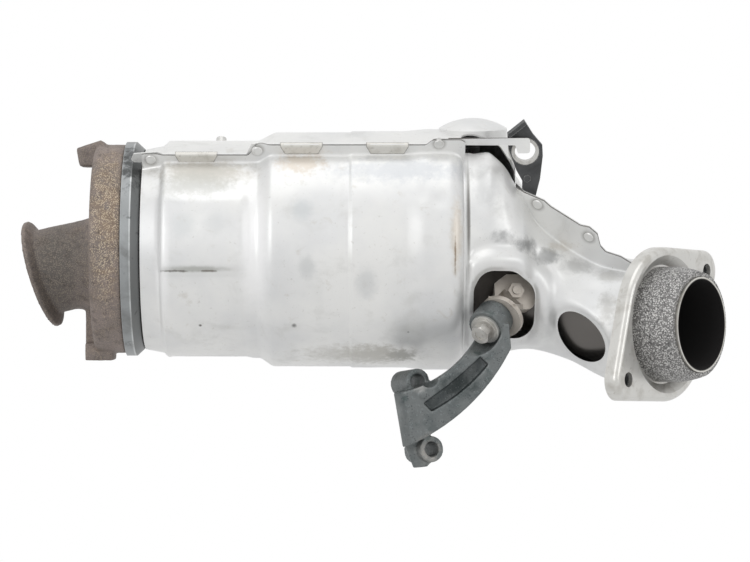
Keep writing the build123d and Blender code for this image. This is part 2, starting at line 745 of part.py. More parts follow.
def rivet(plane):
    """Rivet through both flanges, square to their plane, with a low head on each side."""
    grip = 2 * SHIELD_WALL
    shank = on_axis(plane, [
        (0, -SHIELD_WALL - RIVET_HEAD_HEIGHT), (RIVET_HEAD_R - 1.0, -SHIELD_WALL - RIVET_HEAD_HEIGHT),
        (RIVET_HEAD_R, -SHIELD_WALL - RIVET_HEAD_HEIGHT / 3), (RIVET_HEAD_R, -SHIELD_WALL),
        (RIVET_SHANK_R, -SHIELD_WALL), (RIVET_SHANK_R, grip - SHIELD_WALL),
        (RIVET_HEAD_R, grip - SHIELD_WALL), (RIVET_HEAD_R, grip - SHIELD_WALL + RIVET_HEAD_HEIGHT / 3),
        (RIVET_HEAD_R - 1.0, grip - SHIELD_WALL + RIVET_HEAD_HEIGHT), (0, grip - SHIELD_WALL + RIVET_HEAD_HEIGHT),
    ])
    return shank


def body_rivet_planes():
    planes = []
    for side in (1, -1):
        for x, s in rivet_points_body():
            planes.append(Plane(origin=(x, 0, side * s), z_dir=(0, -1, 0)))
    return planes


def outlet_rivet_planes():
    run = Vector(SEAM_TAIL[0] - SEAM_BEND[0], SEAM_TAIL[1] - SEAM_BEND[1]).normalized()
    normal = (run.Y, -run.X, 0)
    planes = []
    for x, s in OUTLET_RIVETS:
        y = SEAM_BEND[1] + (x - SEAM_BEND[0]) * run.Y / run.X
        planes.append(Plane(origin=(x, y, s), z_dir=normal))
    return planes


def rivet_holes(planes):
    holes = []
    for plane in planes:
        holes.append(seam_turn * extrude(plane * Circle(RIVET_SHANK_R + FIT), 6, both=True))
    return holes


def make_rivets(planes):
    return Compound(children=[seam_turn * rivet(plane) for plane in planes])


def folded_tab(x, side):
    """Tab of the rear flange that is folded over the front one, narrower at its fold's foot."""
    outer = (shield_front_r if x < SHIELD_SLOPE_START else shield_rear_r + 1) + SEAM_WIDTH
    outer -= 1 if x < SHIELD_SLOPE_START else 0
    half = TAB_WIDTH / 2
    leaf_points = [
        (x - half + TAB_TAPER, outer + SHIELD_WALL), (x + half - TAB_TAPER, outer + SHIELD_WALL),
        (x + half, outer - TAB_DEPTH), (x - half, outer - TAB_DEPTH),
    ]
    leaf_plane = Plane(origin=(0, -SHIELD_WALL, 0), x_dir=(1, 0, 0), z_dir=(0, -1, 0))
    leaf = prism(leaf_plane, [(px, side * ps) for px, ps in leaf_points], SHIELD_WALL)
    web_points = [
        (x - half + TAB_TAPER, outer), (x - half + TAB_TAPER, outer + SHIELD_WALL),
        (x + half - TAB_TAPER, outer + SHIELD_WALL), (x + half - TAB_TAPER, outer),
    ]
    web_plane = Plane(origin=(0, SHIELD_WALL, 0), x_dir=(1, 0, 0), z_dir=(0, -1, 0))
    web = prism(web_plane, [(px, side * ps) for px, ps in web_points], 3 * SHIELD_WALL)
    return seam_turn * (leaf + web)


def outlet_seam_outline():
    """Outline of the outlet's wide seam flange, down to inside the duct."""
    return list(OUTLET_SEAM_TOP) + [(192.0, -20.0), (104.0, -20.0)]


def outlet_seam_lower():
    """The hidden lower seam of the outlet: a narrow flange that follows the duct."""
    points = []
    for x, y, z, radius, turn in OUTLET_SECTIONS[1:]:
        lower = -y * sin(radians(SEAM_LEAN)) + z * cos(radians(SEAM_LEAN)) - radius
        points.append((x, lower - SEAM_WIDTH))
    points.append((192.0, points[-1][1] + 6))
    return points + [(192.0, 0.0), (points[0][0], 0.0)]


def dome(inset):
    """Round bulge on top of the rear shield: a ball's cap on a short upright skirt."""
    ball_r = (DOME_R ** 2 + DOME_RISE ** 2) / (2 * DOME_RISE)
    ball = Pos(DOME_X, 0, shield_rear_r + SHIELD_BEAD_RISE + DOME_RISE - ball_r) * Sphere(ball_r - inset)
    skirt_start = Vector(DOME_X, 0, shield_rear_r - DOME_SKIRT_DEPTH)
    skirt = cylinder_from(skirt_start, (0, 0, 1), DOME_SKIRT_R - inset, CUT_THROUGH)
    return Rot(X=DOME_TILT) * (ball & skirt)


def raised_field(inset):
    """Field pressed outwards on the can's front half: a ring sector with sloping ends."""
    top = shield_front_r + PANEL_RISE - inset
    foot = shield_front_r - SHIELD_WALL - inset
    start = PANEL_START + inset
    end = PANEL_END - inset
    turn_in = degrees(inset / top)
    profile = make_face(Polyline([
        (start, 0, foot), (start + PANEL_SLOPE, 0, top), (end - PANEL_SLOPE, 0, top), (end, 0, foot),
    ], close=True))
    sector = revolve(profile, Axis.X, PANEL_BOTTOM_TURN - PANEL_TOP_TURN - 2 * turn_in)
    return Rot(X=SEAM_LEAN + PANEL_TOP_TURN + turn_in) * sector


def make_body_shield_front():
    lip_r = collar_r() + FIT + SHIELD_WALL
    length = SHIELD_END - SHIELD_BEAD_END
    lip_start = SHIELD_END - SHIELD_LIP_LENGTH
    outer = can_shield_wall(0, lip_start, lip_r, length, SHIELD_LIP_LENGTH) + raised_field(0)
    inner = can_shield_wall(SHIELD_WALL, lip_start, lip_r, length, SHIELD_LIP_LENGTH + CUT_PAST)
    inner += raised_field(SHIELD_WALL)
    front = region(BODY_SEAM, 0, -1)
    half = (outer - inner) & front
    sheet = front - region(BODY_SEAM, -SHIELD_WALL, -1)
    for side in (1, -1):
        flange = (seam_blank(body_seam_outline(), side) & sheet) - inner
        half += flange
    for hole in rivet_holes(body_rivet_planes()):
        half -= hole
    return half


def window_column(grow):
    """Straight column through the window and through the oval hole, each grown outwards all round."""
    window = rounded_outline(WINDOW, WINDOW_R, grow)
    oval = Pos(OVAL_X, OVAL_Z) * (Rot(Z=OVAL_TILT) * Ellipse(OVAL_LENGTH / 2 + grow, OVAL_WIDTH / 2 + grow))
    return extrude(upright() * window, SEAM_ROOM / 2) + extrude(upright() * oval, SEAM_ROOM / 2)


def window_field(inset):
    """Field round the window that is pressed outwards from the duct."""
    column = extrude(upright() * rounded_outline(WINDOW_FIELD, WINDOW_FIELD_R, -inset), SEAM_ROOM / 2)
    return outlet_body(inset - WINDOW_FIELD_RISE) & column


def make_outlet_shield_front():
    front = region(OUTLET_SEAM_FRONT, 0, -1)
    outer = outlet_body(0) + window_field(0)
    inner = outlet_body(SHIELD_WALL) + window_field(SHIELD_WALL)
    half = (outer - inner) & front
    lips = (outer - outlet_body(LIP_DEPTH)) & (window_column(SHIELD_WALL) - window_column(0)) & front
    half += lips - pipe_swept(Circle(PIPE_R + FIT))
    sheet = front - region(OUTLET_SEAM_FRONT, -SHIELD_WALL, -1)
    half += (seam_blank(outlet_seam_outline(), 1) & sheet) - inner
    half += (seam_blank(outlet_seam_lower(), 1) & sheet) - inner
    half -= window_column(0)
    for hole in rivet_holes(outlet_rivet_planes()):
        half -= hole
    return half


def make_rear_shield():
    length = SHIELD_REAR_ROUND
    end_r = collar_r() - SHIELD_REAR_TURN_IN
    can_outer = can_shield_wall(0, SHIELD_REAR_END, end_r, length, FIT)
    can_inner = can_shield_wall(SHIELD_WALL, SHIELD_REAR_END - SHIELD_WALL, end_r, length, FIT)
    outer = can_outer + outlet_body(0) + dome(0)
    inner = can_inner + outlet_body(SHIELD_WALL) + dome(SHIELD_WALL)
    rear = region(OUTLET_SEAM_REAR, 0, 1)
    half = (outer - inner) & rear
    body_sheet = region(BODY_SEAM, 0, 1) - region(BODY_SEAM, SHIELD_WALL, 1)
    outlet_sheet = rear - region(OUTLET_SEAM_REAR, SHIELD_WALL, 1)
    for side in (1, -1):
        half += (seam_blank(body_seam_outline(), side) & body_sheet) - inner
    half += (seam_blank(outlet_seam_outline(), 1) & outlet_sheet) - inner
    half += (seam_blank(outlet_seam_lower(), 1) & outlet_sheet) - inner
    for side in (1, -1):
        for x in TAB_CENTRES:
            half += folded_tab(x, side)
    for hole in rivet_holes(body_rivet_planes() + outlet_rivet_planes()):
        half -= hole
    half -= radial_bar(SENSOR_X, SENSOR_ANGLE, SENSOR_BOSS_R + SHIELD_HOLE_ROOM, can_front_r, SEAM_ROOM)
    for x in TAP_X:
        half -= radial_bar(x, TAP_ANGLE, TAP_R + SHIELD_HOLE_ROOM, can_front_r, SEAM_ROOM)
    return half


# Hanger, bolt and arm

def ear_plane():
    """Back face of the hanger's ear, square to the arm's bolt."""
    origin = boss_centre - boss_axis * (BOSS_BACK + EAR_PLATE)
    return Plane(origin=origin, x_dir=(0.883, -0.374, -0.283), z_dir=boss_axis)


def pad_plane():
    """Front face of the hanger's pad on the cone."""
    return Plane(origin=HANGER_PAD_CENTRE, x_dir=(1, 0.2, 0), z_dir=HANGER_PAD_NORMAL)


def make_hanger_plate():
    ear = extrude(ear_plane() * (Pos(EAR_SHIFT, 0) * Circle(EAR_PLATE_R)), EAR_PLATE)
    pad = extrude(pad_plane() * RectangleRounded(PAD_PLATE_LENGTH, PAD_PLATE_WIDTH, PAD_PLATE_R), -HANGER_FOOT)
    web = loft([
        pad_plane() * (Pos(-WEB_SHIFT, -PAD_PLATE_WIDTH / 2 + 2, -EAR_PLATE / 2) * Rectangle(WEB_WIDTH, EAR_PLATE)),
        ear_plane() * (Pos(EAR_SHIFT, EAR_PLATE_R - WEB_SHIFT, EAR_PLATE / 2) * Rectangle(WEB_WIDTH, EAR_PLATE)),
    ])
    plate = ear + pad + web
    plate -= cylinder_from(boss_centre - boss_axis * CUT_THROUGH / 2, boss_axis, ARM_BOLT_R + FIT, CUT_THROUGH)
    plate -= cylinder_from(boss_centre - boss_axis * BOSS_BACK, boss_axis, BOSS_R + CUT_PAST, CUT_THROUGH)
    plate -= extrude(pad_plane() * Circle(HANGER_STUD_R + FIT), EAR_PLATE + HANGER_FOOT, both=True)
    plate -= cylinder_from(ear_plane().origin, -boss_axis, WELD_NUT_ROOM_R, HANGER_FOOT + WELD_NUT_HEIGHT)
    plate -= pipe_swept(Circle(PIPE_R + FIT))
    return plate - cone_body(-FIT)


def hex_on(plane, flats, height, hole_r=0.0):
    section = RegularPolygon(flats / 2, 6, major_radius=False)
    if hole_r > 0:
        section -= Circle(hole_r)
    return extrude(plane * section, height)


def make_hanger_stud():
    stud = extrude(pad_plane() * Circle(HANGER_STUD_R), HANGER_NUT_HEIGHT + 1.5)
    stud += extrude(pad_plane() * Circle(HANGER_STUD_R), -HANGER_FOOT)
    return stud - cone_body(-FIT)


def make_hanger_nut():
    return hex_on(pad_plane(), HANGER_NUT_FLATS, HANGER_NUT_HEIGHT, HANGER_STUD_R + FIT / 2)


def make_hanger_weld_nut():
    origin = ear_plane().origin
    plane = Plane(origin=origin, z_dir=-boss_axis)
    return hex_on(plane, ARM_BOLT_FLATS, WELD_NUT_HEIGHT, ARM_BOLT_R + FIT / 2)


def make_arm_washer():
    plane = Plane(origin=boss_centre + boss_axis * BOSS_FRONT, z_dir=boss_axis)
    return extrude(plane * (Circle(ARM_WASHER_R) - Circle(ARM_BOLT_R + FIT)), ARM_WASHER)


def make_arm_bolt():
    seat = boss_centre + boss_axis * (BOSS_FRONT + ARM_WASHER)
    plane = Plane(origin=seat, z_dir=boss_axis)
    bolt = extrude(plane * Circle(ARM_BOLT_FLANGE_R), ARM_BOLT_FLANGE)
    head = hex_on(plane, ARM_BOLT_FLATS, ARM_BOLT_FLANGE + ARM_BOLT_HEAD)
    crown = on_axis(plane, [
        (0, 0), (ARM_BOLT_FLATS, 0), (ARM_BOLT_FLATS / 2 + 0.2, ARM_BOLT_FLANGE + ARM_BOLT_HEAD),
        (0, ARM_BOLT_FLANGE + ARM_BOLT_HEAD),
    ])
    bolt += head & crown
    shank = BOSS_FRONT + ARM_WASHER + BOSS_BACK + EAR_PLATE + WELD_NUT_HEIGHT + 2
    bolt += extrude(plane * Circle(ARM_BOLT_R), -shank)
    dimple = Plane(origin=seat + boss_axis * (ARM_BOLT_FLANGE + ARM_BOLT_HEAD), z_dir=boss_axis)
    return bolt - extrude(dimple * Circle(ARM_BOLT_FLATS * 0.3), -1.2)


def make_support_arm():
    front = Plane(origin=(0, ARM_BACK_Y, 0), x_dir=(1, 0, 0), z_dir=(0, -1, 0))
    depth = ARM_BACK_Y - ARM_FRONT_Y
    inner = ThreePointArc(ARM_FOOT_TOP, ARM_INNER_MIDDLE, ARM_INNER_END)
    outer = ThreePointArc(ARM_OUTER_END, ARM_OUTER_MIDDLE, ARM_FOOT_BOTTOM)
    top = Polyline([ARM_INNER_END, ARM_TOP_LEFT, ARM_TOP_RIGHT, ARM_OUTER_END])
    foot = Line(ARM_FOOT_BOTTOM, ARM_FOOT_TOP)
    beam = extrude(front * make_face(Curve() + [inner, top, outer, foot]), depth)
    foot_middle = ((ARM_FOOT_TOP[0] + ARM_FOOT_BOTTOM[0]) / 2, ARM_FRONT_Y, (ARM_FOOT_TOP[1] + ARM_FOOT_BOTTOM[1]) / 2)
    beam = chamfer(beam.edges().sort_by_distance(foot_middle)[0], ARM_FOOT_CHAMFER)
    boss = cylinder_from(boss_centre - boss_axis * BOSS_BACK, boss_axis, BOSS_R, BOSS_BACK + BOSS_FRONT)
    back = Plane(origin=(0, LUG_BACK_Y, 0), x_dir=(1, 0, 0), z_dir=(0, -1, 0))
    block = extrude(back * make_face(Polyline(FOOT_BLOCK, close=True)), LUG_BACK_Y - ARM_BACK_Y)
    neck = extrude(back * make_face(Polyline(LUG_NECK, close=True)), LUG_BACK_Y - ARM_BACK_Y + 3)
    arm = beam + boss + block + neck
    lug_axis = Vector(*LUG_AXIS).normalized()
    for place in (LUG_TOP, LUG_BOTTOM):
        arm += cylinder_from(Vector(*place), -lug_axis, LUG_R, LUG_LENGTH)
    pocket_upper = ThreePointArc(POCKET_TOP, POCKET_UPPER_MIDDLE, POCKET_TIP)
    pocket_lower = ThreePointArc(POCKET_TIP_LOW, POCKET_LOWER_MIDDLE, POCKET_TOP_LOW)
    ends = [Line(POCKET_TIP, POCKET_TIP_LOW), Line(POCKET_TOP_LOW, POCKET_TOP)]
    pocket_face = make_face(Curve() + [pocket_upper, pocket_lower] + ends)
    floor = Plane(origin=(0, ARM_FRONT_Y + ARM_POCKET_DEPTH, 0), x_dir=(1, 0, 0), z_dir=(0, -1, 0))
    arm -= extrude(floor * pocket_face, ARM_POCKET_DEPTH + 1)
    arm -= cylinder_from(boss_centre + boss_axis * BOSS_FRONT, boss_axis, ARM_WASHER_R + WASHER_ROOM, CUT_THROUGH)
    behind = boss_centre - boss_axis * BOSS_BACK
    arm -= cylinder_from(behind, -boss_axis, EAR_PLATE_R + EAR_SHIFT + EAR_ROOM, CUT_THROUGH)
    arm -= cylinder_from(boss_centre - boss_axis * CUT_THROUGH / 2, boss_axis, ARM_BOLT_R + FIT, CUT_THROUGH)
    for place in (LUG_TOP, LUG_BOTTOM):
        start = Vector(*place) + lug_axis * LUG_LENGTH
        arm -= cylinder_from(start, -lug_axis, LUG_HOLE_R, LUG_LENGTH * 3)
    pip = Plane(origin=(PIP_X, ARM_FRONT_Y, PIP_Z), z_dir=(0, -1, 0))
    return arm + extrude(pip * Circle(PIP_R), PIP_HEIGHT)


# Stay plate, its collar and the strip

def stay_plane():
    """Front face of the stay plate, which leans towards the front."""
    lean = radians(STAY_LEAN)
    return Plane(origin=(STAY_X, STAY_Y, STAY_Z), x_dir=(1, 0, 0), z_dir=(0, -cos(lean), -sin(lean)))


def make_stay_plate():
    plane = stay_plane()
    plate = extrude(plane * make_face(Polyline(STAY_OUTLINE, close=True)), -STAY_THICKNESS)
    start = Vector(*STAY_OUTLINE[0])
    run = Vector(*STAY_OUTLINE[1]) - start
    inward = Vector(run.Y, -run.X).normalized() * STAY_THICKNESS
    rim = make_face(Polyline([start, start + run, start + run + inward, start + inward], close=True))
    plate += extrude(plane * rim, STAY_RIM)
    plate -= extrude(plane * (Pos(STAY_HOLE_U, STAY_HOLE_V) * Circle(STAY_HOLE_R)), STAY_THICKNESS, both=True)
    plate += extrude(plane * (Pos(STAY_PIP_U, STAY_PIP_V) * Circle(PIP_R)), PIP_HEIGHT)
    return plate - outlet_body(-FIT)


def make_stay_collar():
    plane = stay_plane() * Pos(STAY_HOLE_U, STAY_HOLE_V)
    outer = STAY_HOLE_R - FIT
    ring = extrude(plane * (Circle(outer) - Circle(outer - COLLAR_WALL)), -COLLAR_LENGTH)
    back = Plane(plane) * Pos(0, 0, -STAY_THICKNESS)
    lip = Circle(STAY_HOLE_R + COLLAR_LIP) - Circle(outer - COLLAR_WALL)
    return ring + extrude(back * lip, STAY_THICKNESS - COLLAR_LENGTH)


def make_shield_strip():
    lean = radians(SEAM_LEAN)
    foot_s = shield_rear_r + SEAM_WIDTH + 1 + EAR_RISE - STRIP_WIDTH / 2
    foot_y = SHIELD_WALL + STRIP_THICKNESS / 2
    centre = Vector(STRIP_START, foot_y * cos(lean) - foot_s * sin(lean), foot_y * sin(lean) + foot_s * cos(lean))
    bar = Rectangle(STRIP_THICKNESS, STRIP_WIDTH)
    first = Plane(origin=centre, x_dir=(0, cos(lean), sin(lean)), z_dir=(1, 0, 0))
    straight = extrude(first * bar, STRIP_STRAIGHT_END - STRIP_START)
    second = Plane(
        origin=centre + Vector(STRIP_STRAIGHT_END - STRIP_START, 0, 0), x_dir=(0, cos(lean), sin(lean)),
        z_dir=(1, 0, 0),
    )
    pad_centre_v = STAY_HOLE_V + STRIP_PAD_RISE
    pad = stay_plane() * (Pos(STRIP_PAD_U, pad_centre_v) * Rectangle(STRIP_PAD_LENGTH, STRIP_PAD_HEIGHT))
    stay = stay_plane()
    meet_v = pad_centre_v + (STRIP_PAD_HEIGHT - STRIP_WIDTH) / 2
    meet = stay.from_local_coords(Vector(STRIP_PAD_U - STRIP_PAD_LENGTH / 2, meet_v, STRIP_THICKNESS / 2))
    stay_lean = radians(STAY_LEAN)
    third = Plane(origin=meet, x_dir=(0, cos(stay_lean), sin(stay_lean)), z_dir=(1, 0, 0))
    ribbon = loft([second * bar, third * bar], ruled=True)
    return straight + ribbon + extrude(pad, STRIP_THICKNESS)


def main():
    pieces = {
        "oxidation_brick": make_oxidation_brick(),
        "oxidation_mat": make_oxidation_mat(),
        "filter_brick": make_filter_brick(),
        "filter_mat": make_filter_mat(),
        "can_shell": make_can_shell(),
        "joint_ring": make_joint_ring(),
        "inlet_casting": make_inlet_casting(),
        "temp_sensor_boss": make_temp_sensor_boss(),
        "pressure_tap_front": make_pressure_tap(TAP_X[0]),
        "pressure_tap_rear": make_pressure_tap(TAP_X[1]),
        "outlet_cone": make_outlet_cone(),
        "outlet_pipe": make_outlet_pipe(),
        "outlet_flange": make_outlet_flange(),
        "flange_nuts": make_flange_nuts(),
        "donut_gasket": make_donut_gasket(),
        "body_shield_front": make_body_shield_front(),
        "outlet_shield_front": make_outlet_shield_front(),
        "rear_shield": make_rear_shield(),
        "body_rivets": make_rivets(body_rivet_planes()),
        "outlet_rivets": make_rivets(outlet_rivet_planes()),
        "hanger_plate": make_hanger_plate(),
        "hanger_stud": make_hanger_stud(),
        "hanger_nut": make_hanger_nut(),
        "hanger_weld_nut": make_hanger_weld_nut(),
        "arm_washer": make_arm_washer(),
        "arm_bolt": make_arm_bolt(),
        "support_arm": make_support_arm(),
        "stay_plate": make_stay_plate(),
        "stay_collar": make_stay_collar(),
        "shield_strip": make_shield_strip(),
    }
    os.makedirs("parts", exist_ok=True)
    home = Pos(-inlet_centre.X, -inlet_centre.Y, -inlet_centre.Z)
    for name, shape in pieces.items():
        export_step(home * shape, f"parts/{name}.step")


main()
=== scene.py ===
"""Diesel particulate filter: looks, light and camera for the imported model.

Shapes are worked out in the can's own frame, in millimetres: x runs along the can's axis with x = 0
near its middle, y points away from the viewer, z points up, and y = z = 0 is the axis. Angles round
the can count from the top of its seam. A span of four numbers says where a form starts, is full,
begins to fall and ends.
"""

from math import cos, pi, radians, sin

import bpy
import bmesh
import numpy as np
from mathutils import Matrix, Vector


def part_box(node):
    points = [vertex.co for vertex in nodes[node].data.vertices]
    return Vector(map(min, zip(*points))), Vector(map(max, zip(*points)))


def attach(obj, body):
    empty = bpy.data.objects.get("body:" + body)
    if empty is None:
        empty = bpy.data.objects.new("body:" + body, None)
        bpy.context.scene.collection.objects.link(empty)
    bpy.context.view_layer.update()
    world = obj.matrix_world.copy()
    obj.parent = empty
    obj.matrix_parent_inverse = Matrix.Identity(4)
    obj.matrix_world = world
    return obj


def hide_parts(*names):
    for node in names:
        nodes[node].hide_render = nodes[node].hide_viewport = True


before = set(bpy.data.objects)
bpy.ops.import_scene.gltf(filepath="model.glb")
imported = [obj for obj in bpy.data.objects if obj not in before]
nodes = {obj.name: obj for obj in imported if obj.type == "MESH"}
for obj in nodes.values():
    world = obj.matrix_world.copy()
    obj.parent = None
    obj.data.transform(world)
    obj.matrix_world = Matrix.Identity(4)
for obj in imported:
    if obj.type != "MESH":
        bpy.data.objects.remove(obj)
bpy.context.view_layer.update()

# The can's own frame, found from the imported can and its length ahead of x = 0
MM = 0.001
CAN_AHEAD = 183.0
can_low, can_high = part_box("can_shell")
CAN_ORIGIN = np.array([
    can_low.x + CAN_AHEAD * MM, (can_low.y + can_high.y) / 2, (can_low.z + can_high.z) / 2,
])

# Sheet of the shields, and the profile of the can's shield along x
SHEET = 0.8
RIM_START = -171
RIM_END = -157.8
RIM_STEP = 4.5
RIM_R = 74.5
RIM_RISE = 2.6
FRONT_R = 81
SLOPE_START = -87
SLOPE_END = -74.5
MIDDLE_R = 87.3
STEP_LINE = -18.8
STEP_LENGTH = 2
REAR_R = 88.2
BEAD_START = 22
BEAD_FULL = 37
BEAD_R = 89.7
ROUND_START = 53
LIP_X = 64
LIP_R = 80.2
SHIELD_END = 66

# Pressed panels of the can's shield: height, span along x, span of the angle in degrees
CAN_PANELS = (
    (2.3, (-161, -153.5, -99, -90.5), (18.6, 27.6, 60, 64.4)),
    (-1.1, (-156, -151.5, -97, -90), (64.6, 66.6, 142, 160)),
)
RIB_RISE = 0.45
RIB_X = -126
RIB_WIDTH = 1.3
RIB_MIDDLE = 79
RIB_SLANT = 0.03
RIB_SPAN = (68, 74, 82, 92)

# Dents of the can's shield: depth, place and size along x, place and size of the angle
CAN_DENTS = (
    (0.9, 47, 6.5, 29, 4), (0.7, 35, 4, 25, 5),
    (0.8, -3, 14, 72, 9), (0.9, 22, 9, 116, 6),
)

# Waves in the shields' skin: height, seed and wavelength, and where they may be; round the can, a
# degree counts as ARC_OF_DEGREE millimetres
CAN_WAVES = ((0.22, 3, 60), (0.10, 5, 22))
ARC_OF_DEGREE = 1.5
UNEVEN_X = (-168, -150, 50, 60)
UNEVEN_TURN = (2, 12)
OUTLET_WAVES = ((0.35, 41, 34), (0.12, 43, 13))
OUTLET_WAVES_END = (186, 196)

# Seam flange of the can's shield: its height over the shield, where it steps up, and its rivet ears
LOW_FLANGE = 7
HIGH_FLANGE = 9
FLANGE_STEP = (-94, -84)
FLANGE_EARS = (
    (1.2, (-172, -169, -160.5, -155)), (1.8, (-93, -88, -83, -76)),
    (4.6, (36, 43, 62, 70)),
)

# The shields' seam leans towards the viewer by this angle, and bends into the shields at this radius
SEAM_LEAN = radians(38.6)
SEAM_UP = np.array([0, -sin(SEAM_LEAN), cos(SEAM_LEAN)])
SEAM_BACK = np.array([0, cos(SEAM_LEAN), sin(SEAM_LEAN)])
SEAM_ROOT_R = 3
OUTLET_ROOT_R = 4

# The outlet's end, with the solids' values: the flange's turn in degrees, the pipe, and its last
# corner, from which the flange and then the pipe's end follow along the axis
FLANGE_TURN = 36.05
OUTLET_AXIS = np.array([cos(radians(FLANGE_TURN)), -sin(radians(FLANGE_TURN)), 0.0])
PIPE_R = 35
PIPE_CORNER = np.array([178, -12, -56.1])
FLANGE_DISTANCE = 47.6
PIPE_PROUD = 28.3
PIPE_END = PIPE_CORNER + OUTLET_AXIS * (FLANGE_DISTANCE + PIPE_PROUD)

# The pipe's finish: its bright rim gives way to soot inside these radii, and painted shade from the
# shield darkens its outside between these places along its axis from its end
BARE_RIM_R = PIPE_R - 0.9
SOOT_R = PIPE_R - 1.5
PAINTED_SHADE_START = -40
PAINTED_SHADE_FULL = -46

# Sections of the outlet's shield: centre, radius and turn in degrees, and the step between sections
OUTLET_KEYS = (
    (49, 0, 0, 79.1, 0), (66, 0, 0, 79.1, 0), (72, 0, 0, 78.7, 0),
    (90, -1, -4, 74, 0), (107, -4, -11, 63.5, 0), (122, -6.5, -24, 51, 4),
    (146, -10, -37, 45.5, 8), (175, -18, -51, 45.5, 20),
    (205.2, -31.8, -56.1, 46, FLANGE_TURN),
)
OUTLET_STEP = 1.15

# The outlet's seam: how far it lies behind the axis over x, its top edge, and its lower flange's width
SEAM_LINE = (
    (-300, 40, 58, 84, 110, 225, 300), (0, 0, 16, 13, -11, -70.3, -70.3),
)
SEAM_TOP_EDGE = np.array([
    (104, 63), (124, 60), (129.3, 56.3), (150.6, 47.7), (157, 48.5), (163, 44.5),
    (165.5, 34.5), (169.5, 30.6), (180, 30.4), (192, 26),
])
LOWER_FLANGE = ((98, 104, 178, 192), (0.3, 8, 8, 2))
FLANGE_FROM = 103.6
LEAST_FLANGE = 0.3

# Shoulder of the outlet's shield above the window: height, span along x, and angles in radians
SHOULDER_RISE = 7
SHOULDER_X = (70, 86, 93, 107)
SHOULDER_TURN = (0.85, 1.5)

# Openings of the outlet's shield in x and z, and how far in y they are cut
WINDOW = ((71.8, -30), (78.5, -16.6), (102, -16.9), (117.5, -29), (116.5, -66.5), (71.8, -66.5))
WINDOW_R = 13.5
OVAL_X = 151.4
OVAL_Z = -65.1
OVAL_LENGTH = 44
OVAL_WIDTH = 25.6
OVAL_TILT = radians(-50)
CUT_NEAR = -150
CUT_FAR = -2

# Pressed forms round them. A field has its height and where it falls to nothing, a crest has its
# height, place and width, all as distances from the opening's edge.
WINDOW_FIELDS = ((1.9, 9, 16.5), (-2.8, -0.5, 4.5))
WINDOW_CREST = (1.4, 8, 4.2)
WINDOW_VALLEY = (-2.3, 19, 4.5)
VALLEY_Z = (-34, -16)
OVAL_FIELD = (-1.8, -0.5, 3.6)
OVAL_CREST = (0.7, 5, 3)
RELIEF_START = (66.5, 72)
RELIEF_FACING = (0.25, 0.5)

# Folded tabs over the can's seam
TAB_CENTRES = (-131, -53.8, 9.1)
TAB_HALF = 15.5
TAB_TAPER = 3.2
TAB_DEPTH = 6.5
TAB_SHEET = 0.3
TAB_FOLD_R = 1.3
TAB_MIDDLE = 0.65
TAB_BACK = -1
TAB_LOW = 7
TAB_HIGH = 8.2

# Strip from the seam to the stay plate, and the leaning plate's middle
STRIP_SEAM_X = (53.5, 62)
STRIP_SEAM_TOP = 102.2
STRIP_HEIGHT = 5.5
STRIP_THICKNESS = 1.5
STAY_X, STAY_Y, STAY_Z = 113, -41, 42
STAY_LEAN = radians(16)
PAD_LEFT = -10.4
PAD_RIGHT = 0.8
PAD_TOP = 41
PAD_HEIGHT = 11.5
PAD_DROP = 2.6
PAD_CORNER = 2

# Castings: voxel size, rounds of smoothing, height and size of the skin's ripples and their seed,
# then the finish and the material slot
CASTINGS = (
    ("inlet_casting", (1.1, 6, 0.12, 9, 11), "cast_iron", "cast_iron"),
    ("support_arm", (0.7, 5, 0.08, 7, 17), "alloy", "cast_aluminium"),
)

# Camera of the photograph: level, square to the can, with x = 0 at the middle of the picture
CAMERA_DISTANCE = 2430
CAMERA_HEIGHT = -24.15
PICTURE_WIDTH = 750
SCALE_AT_AXIS = 0.75
SENSOR = 36

# Stage: the floor's place and shade, how white it is seen, the light from all round, and the lamps
# with their place, target, size and power
FLOOR_Z = -420
FLOOR_HALF = 2000
FLOOR_SHADE = (0.8, 0.8, 0.8, 1)
FLOOR_GLOW = 0.85
WHITE = (1, 1, 1, 1)
WORLD_LIGHT = 0.55
LAMPS = (
    ("top_light", (-100, -350, 1300), (0, 0, 0), 1100, 4.1),
    ("front_light", (-900, -1500, 500), (0, 0, 0), 900, 6),
    ("right_light", (1300, -900, 350), (100, 0, 0), 700, 2.5),
)


def to_scene(points):
    """Points of the can's frame in millimetres, as scene points in metres."""
    return np.asarray(points, float) * MM + CAN_ORIGIN


# Meshes

def link(made):
    """Puts a new object into the scene."""
    bpy.context.scene.collection.objects.link(made)
    return made


def new_object(name, points, faces):
    """Mesh object from scene points and faces."""
    mesh = bpy.data.meshes.new(name)
    mesh.from_pydata(np.asarray(points, float).tolist(), [], faces)
    mesh.validate()
    return link(bpy.data.objects.new(name, mesh))


def grid_faces(rows, columns, wrap=False):
    """Quads of a grid whose point (i, j) has the index i * columns + j.

    With wrap, the last column joins the first.
    """
    i = np.arange(rows - 1)[:, None] * columns
    j = np.arange(columns if wrap else columns - 1)[None, :]
    right = (j + 1) % columns
    below = i + columns
    return np.stack([i + j, i + right, below + right, below + j], axis=-1).reshape(-1, 4).tolist()


def grid_object(name, points, flip):
    """Surface over an array of can-frame points with the shape (rows, columns, 3).

    With flip, its faces look to the other side.
    """
    faces = grid_faces(*points.shape[:2])
    if flip:
        faces = [face[::-1] for face in faces]
    return new_object(name, to_scene(points.reshape(-1, 3)), faces)


def bake_modifiers(piece):
    """Writes what the piece's modifiers make into its mesh."""
    graph = bpy.context.evaluated_depsgraph_get()
    baked = bpy.data.meshes.new_from_object(piece.evaluated_get(graph))
    piece.modifiers.clear()
    piece.data = baked
    baked.name = piece.name


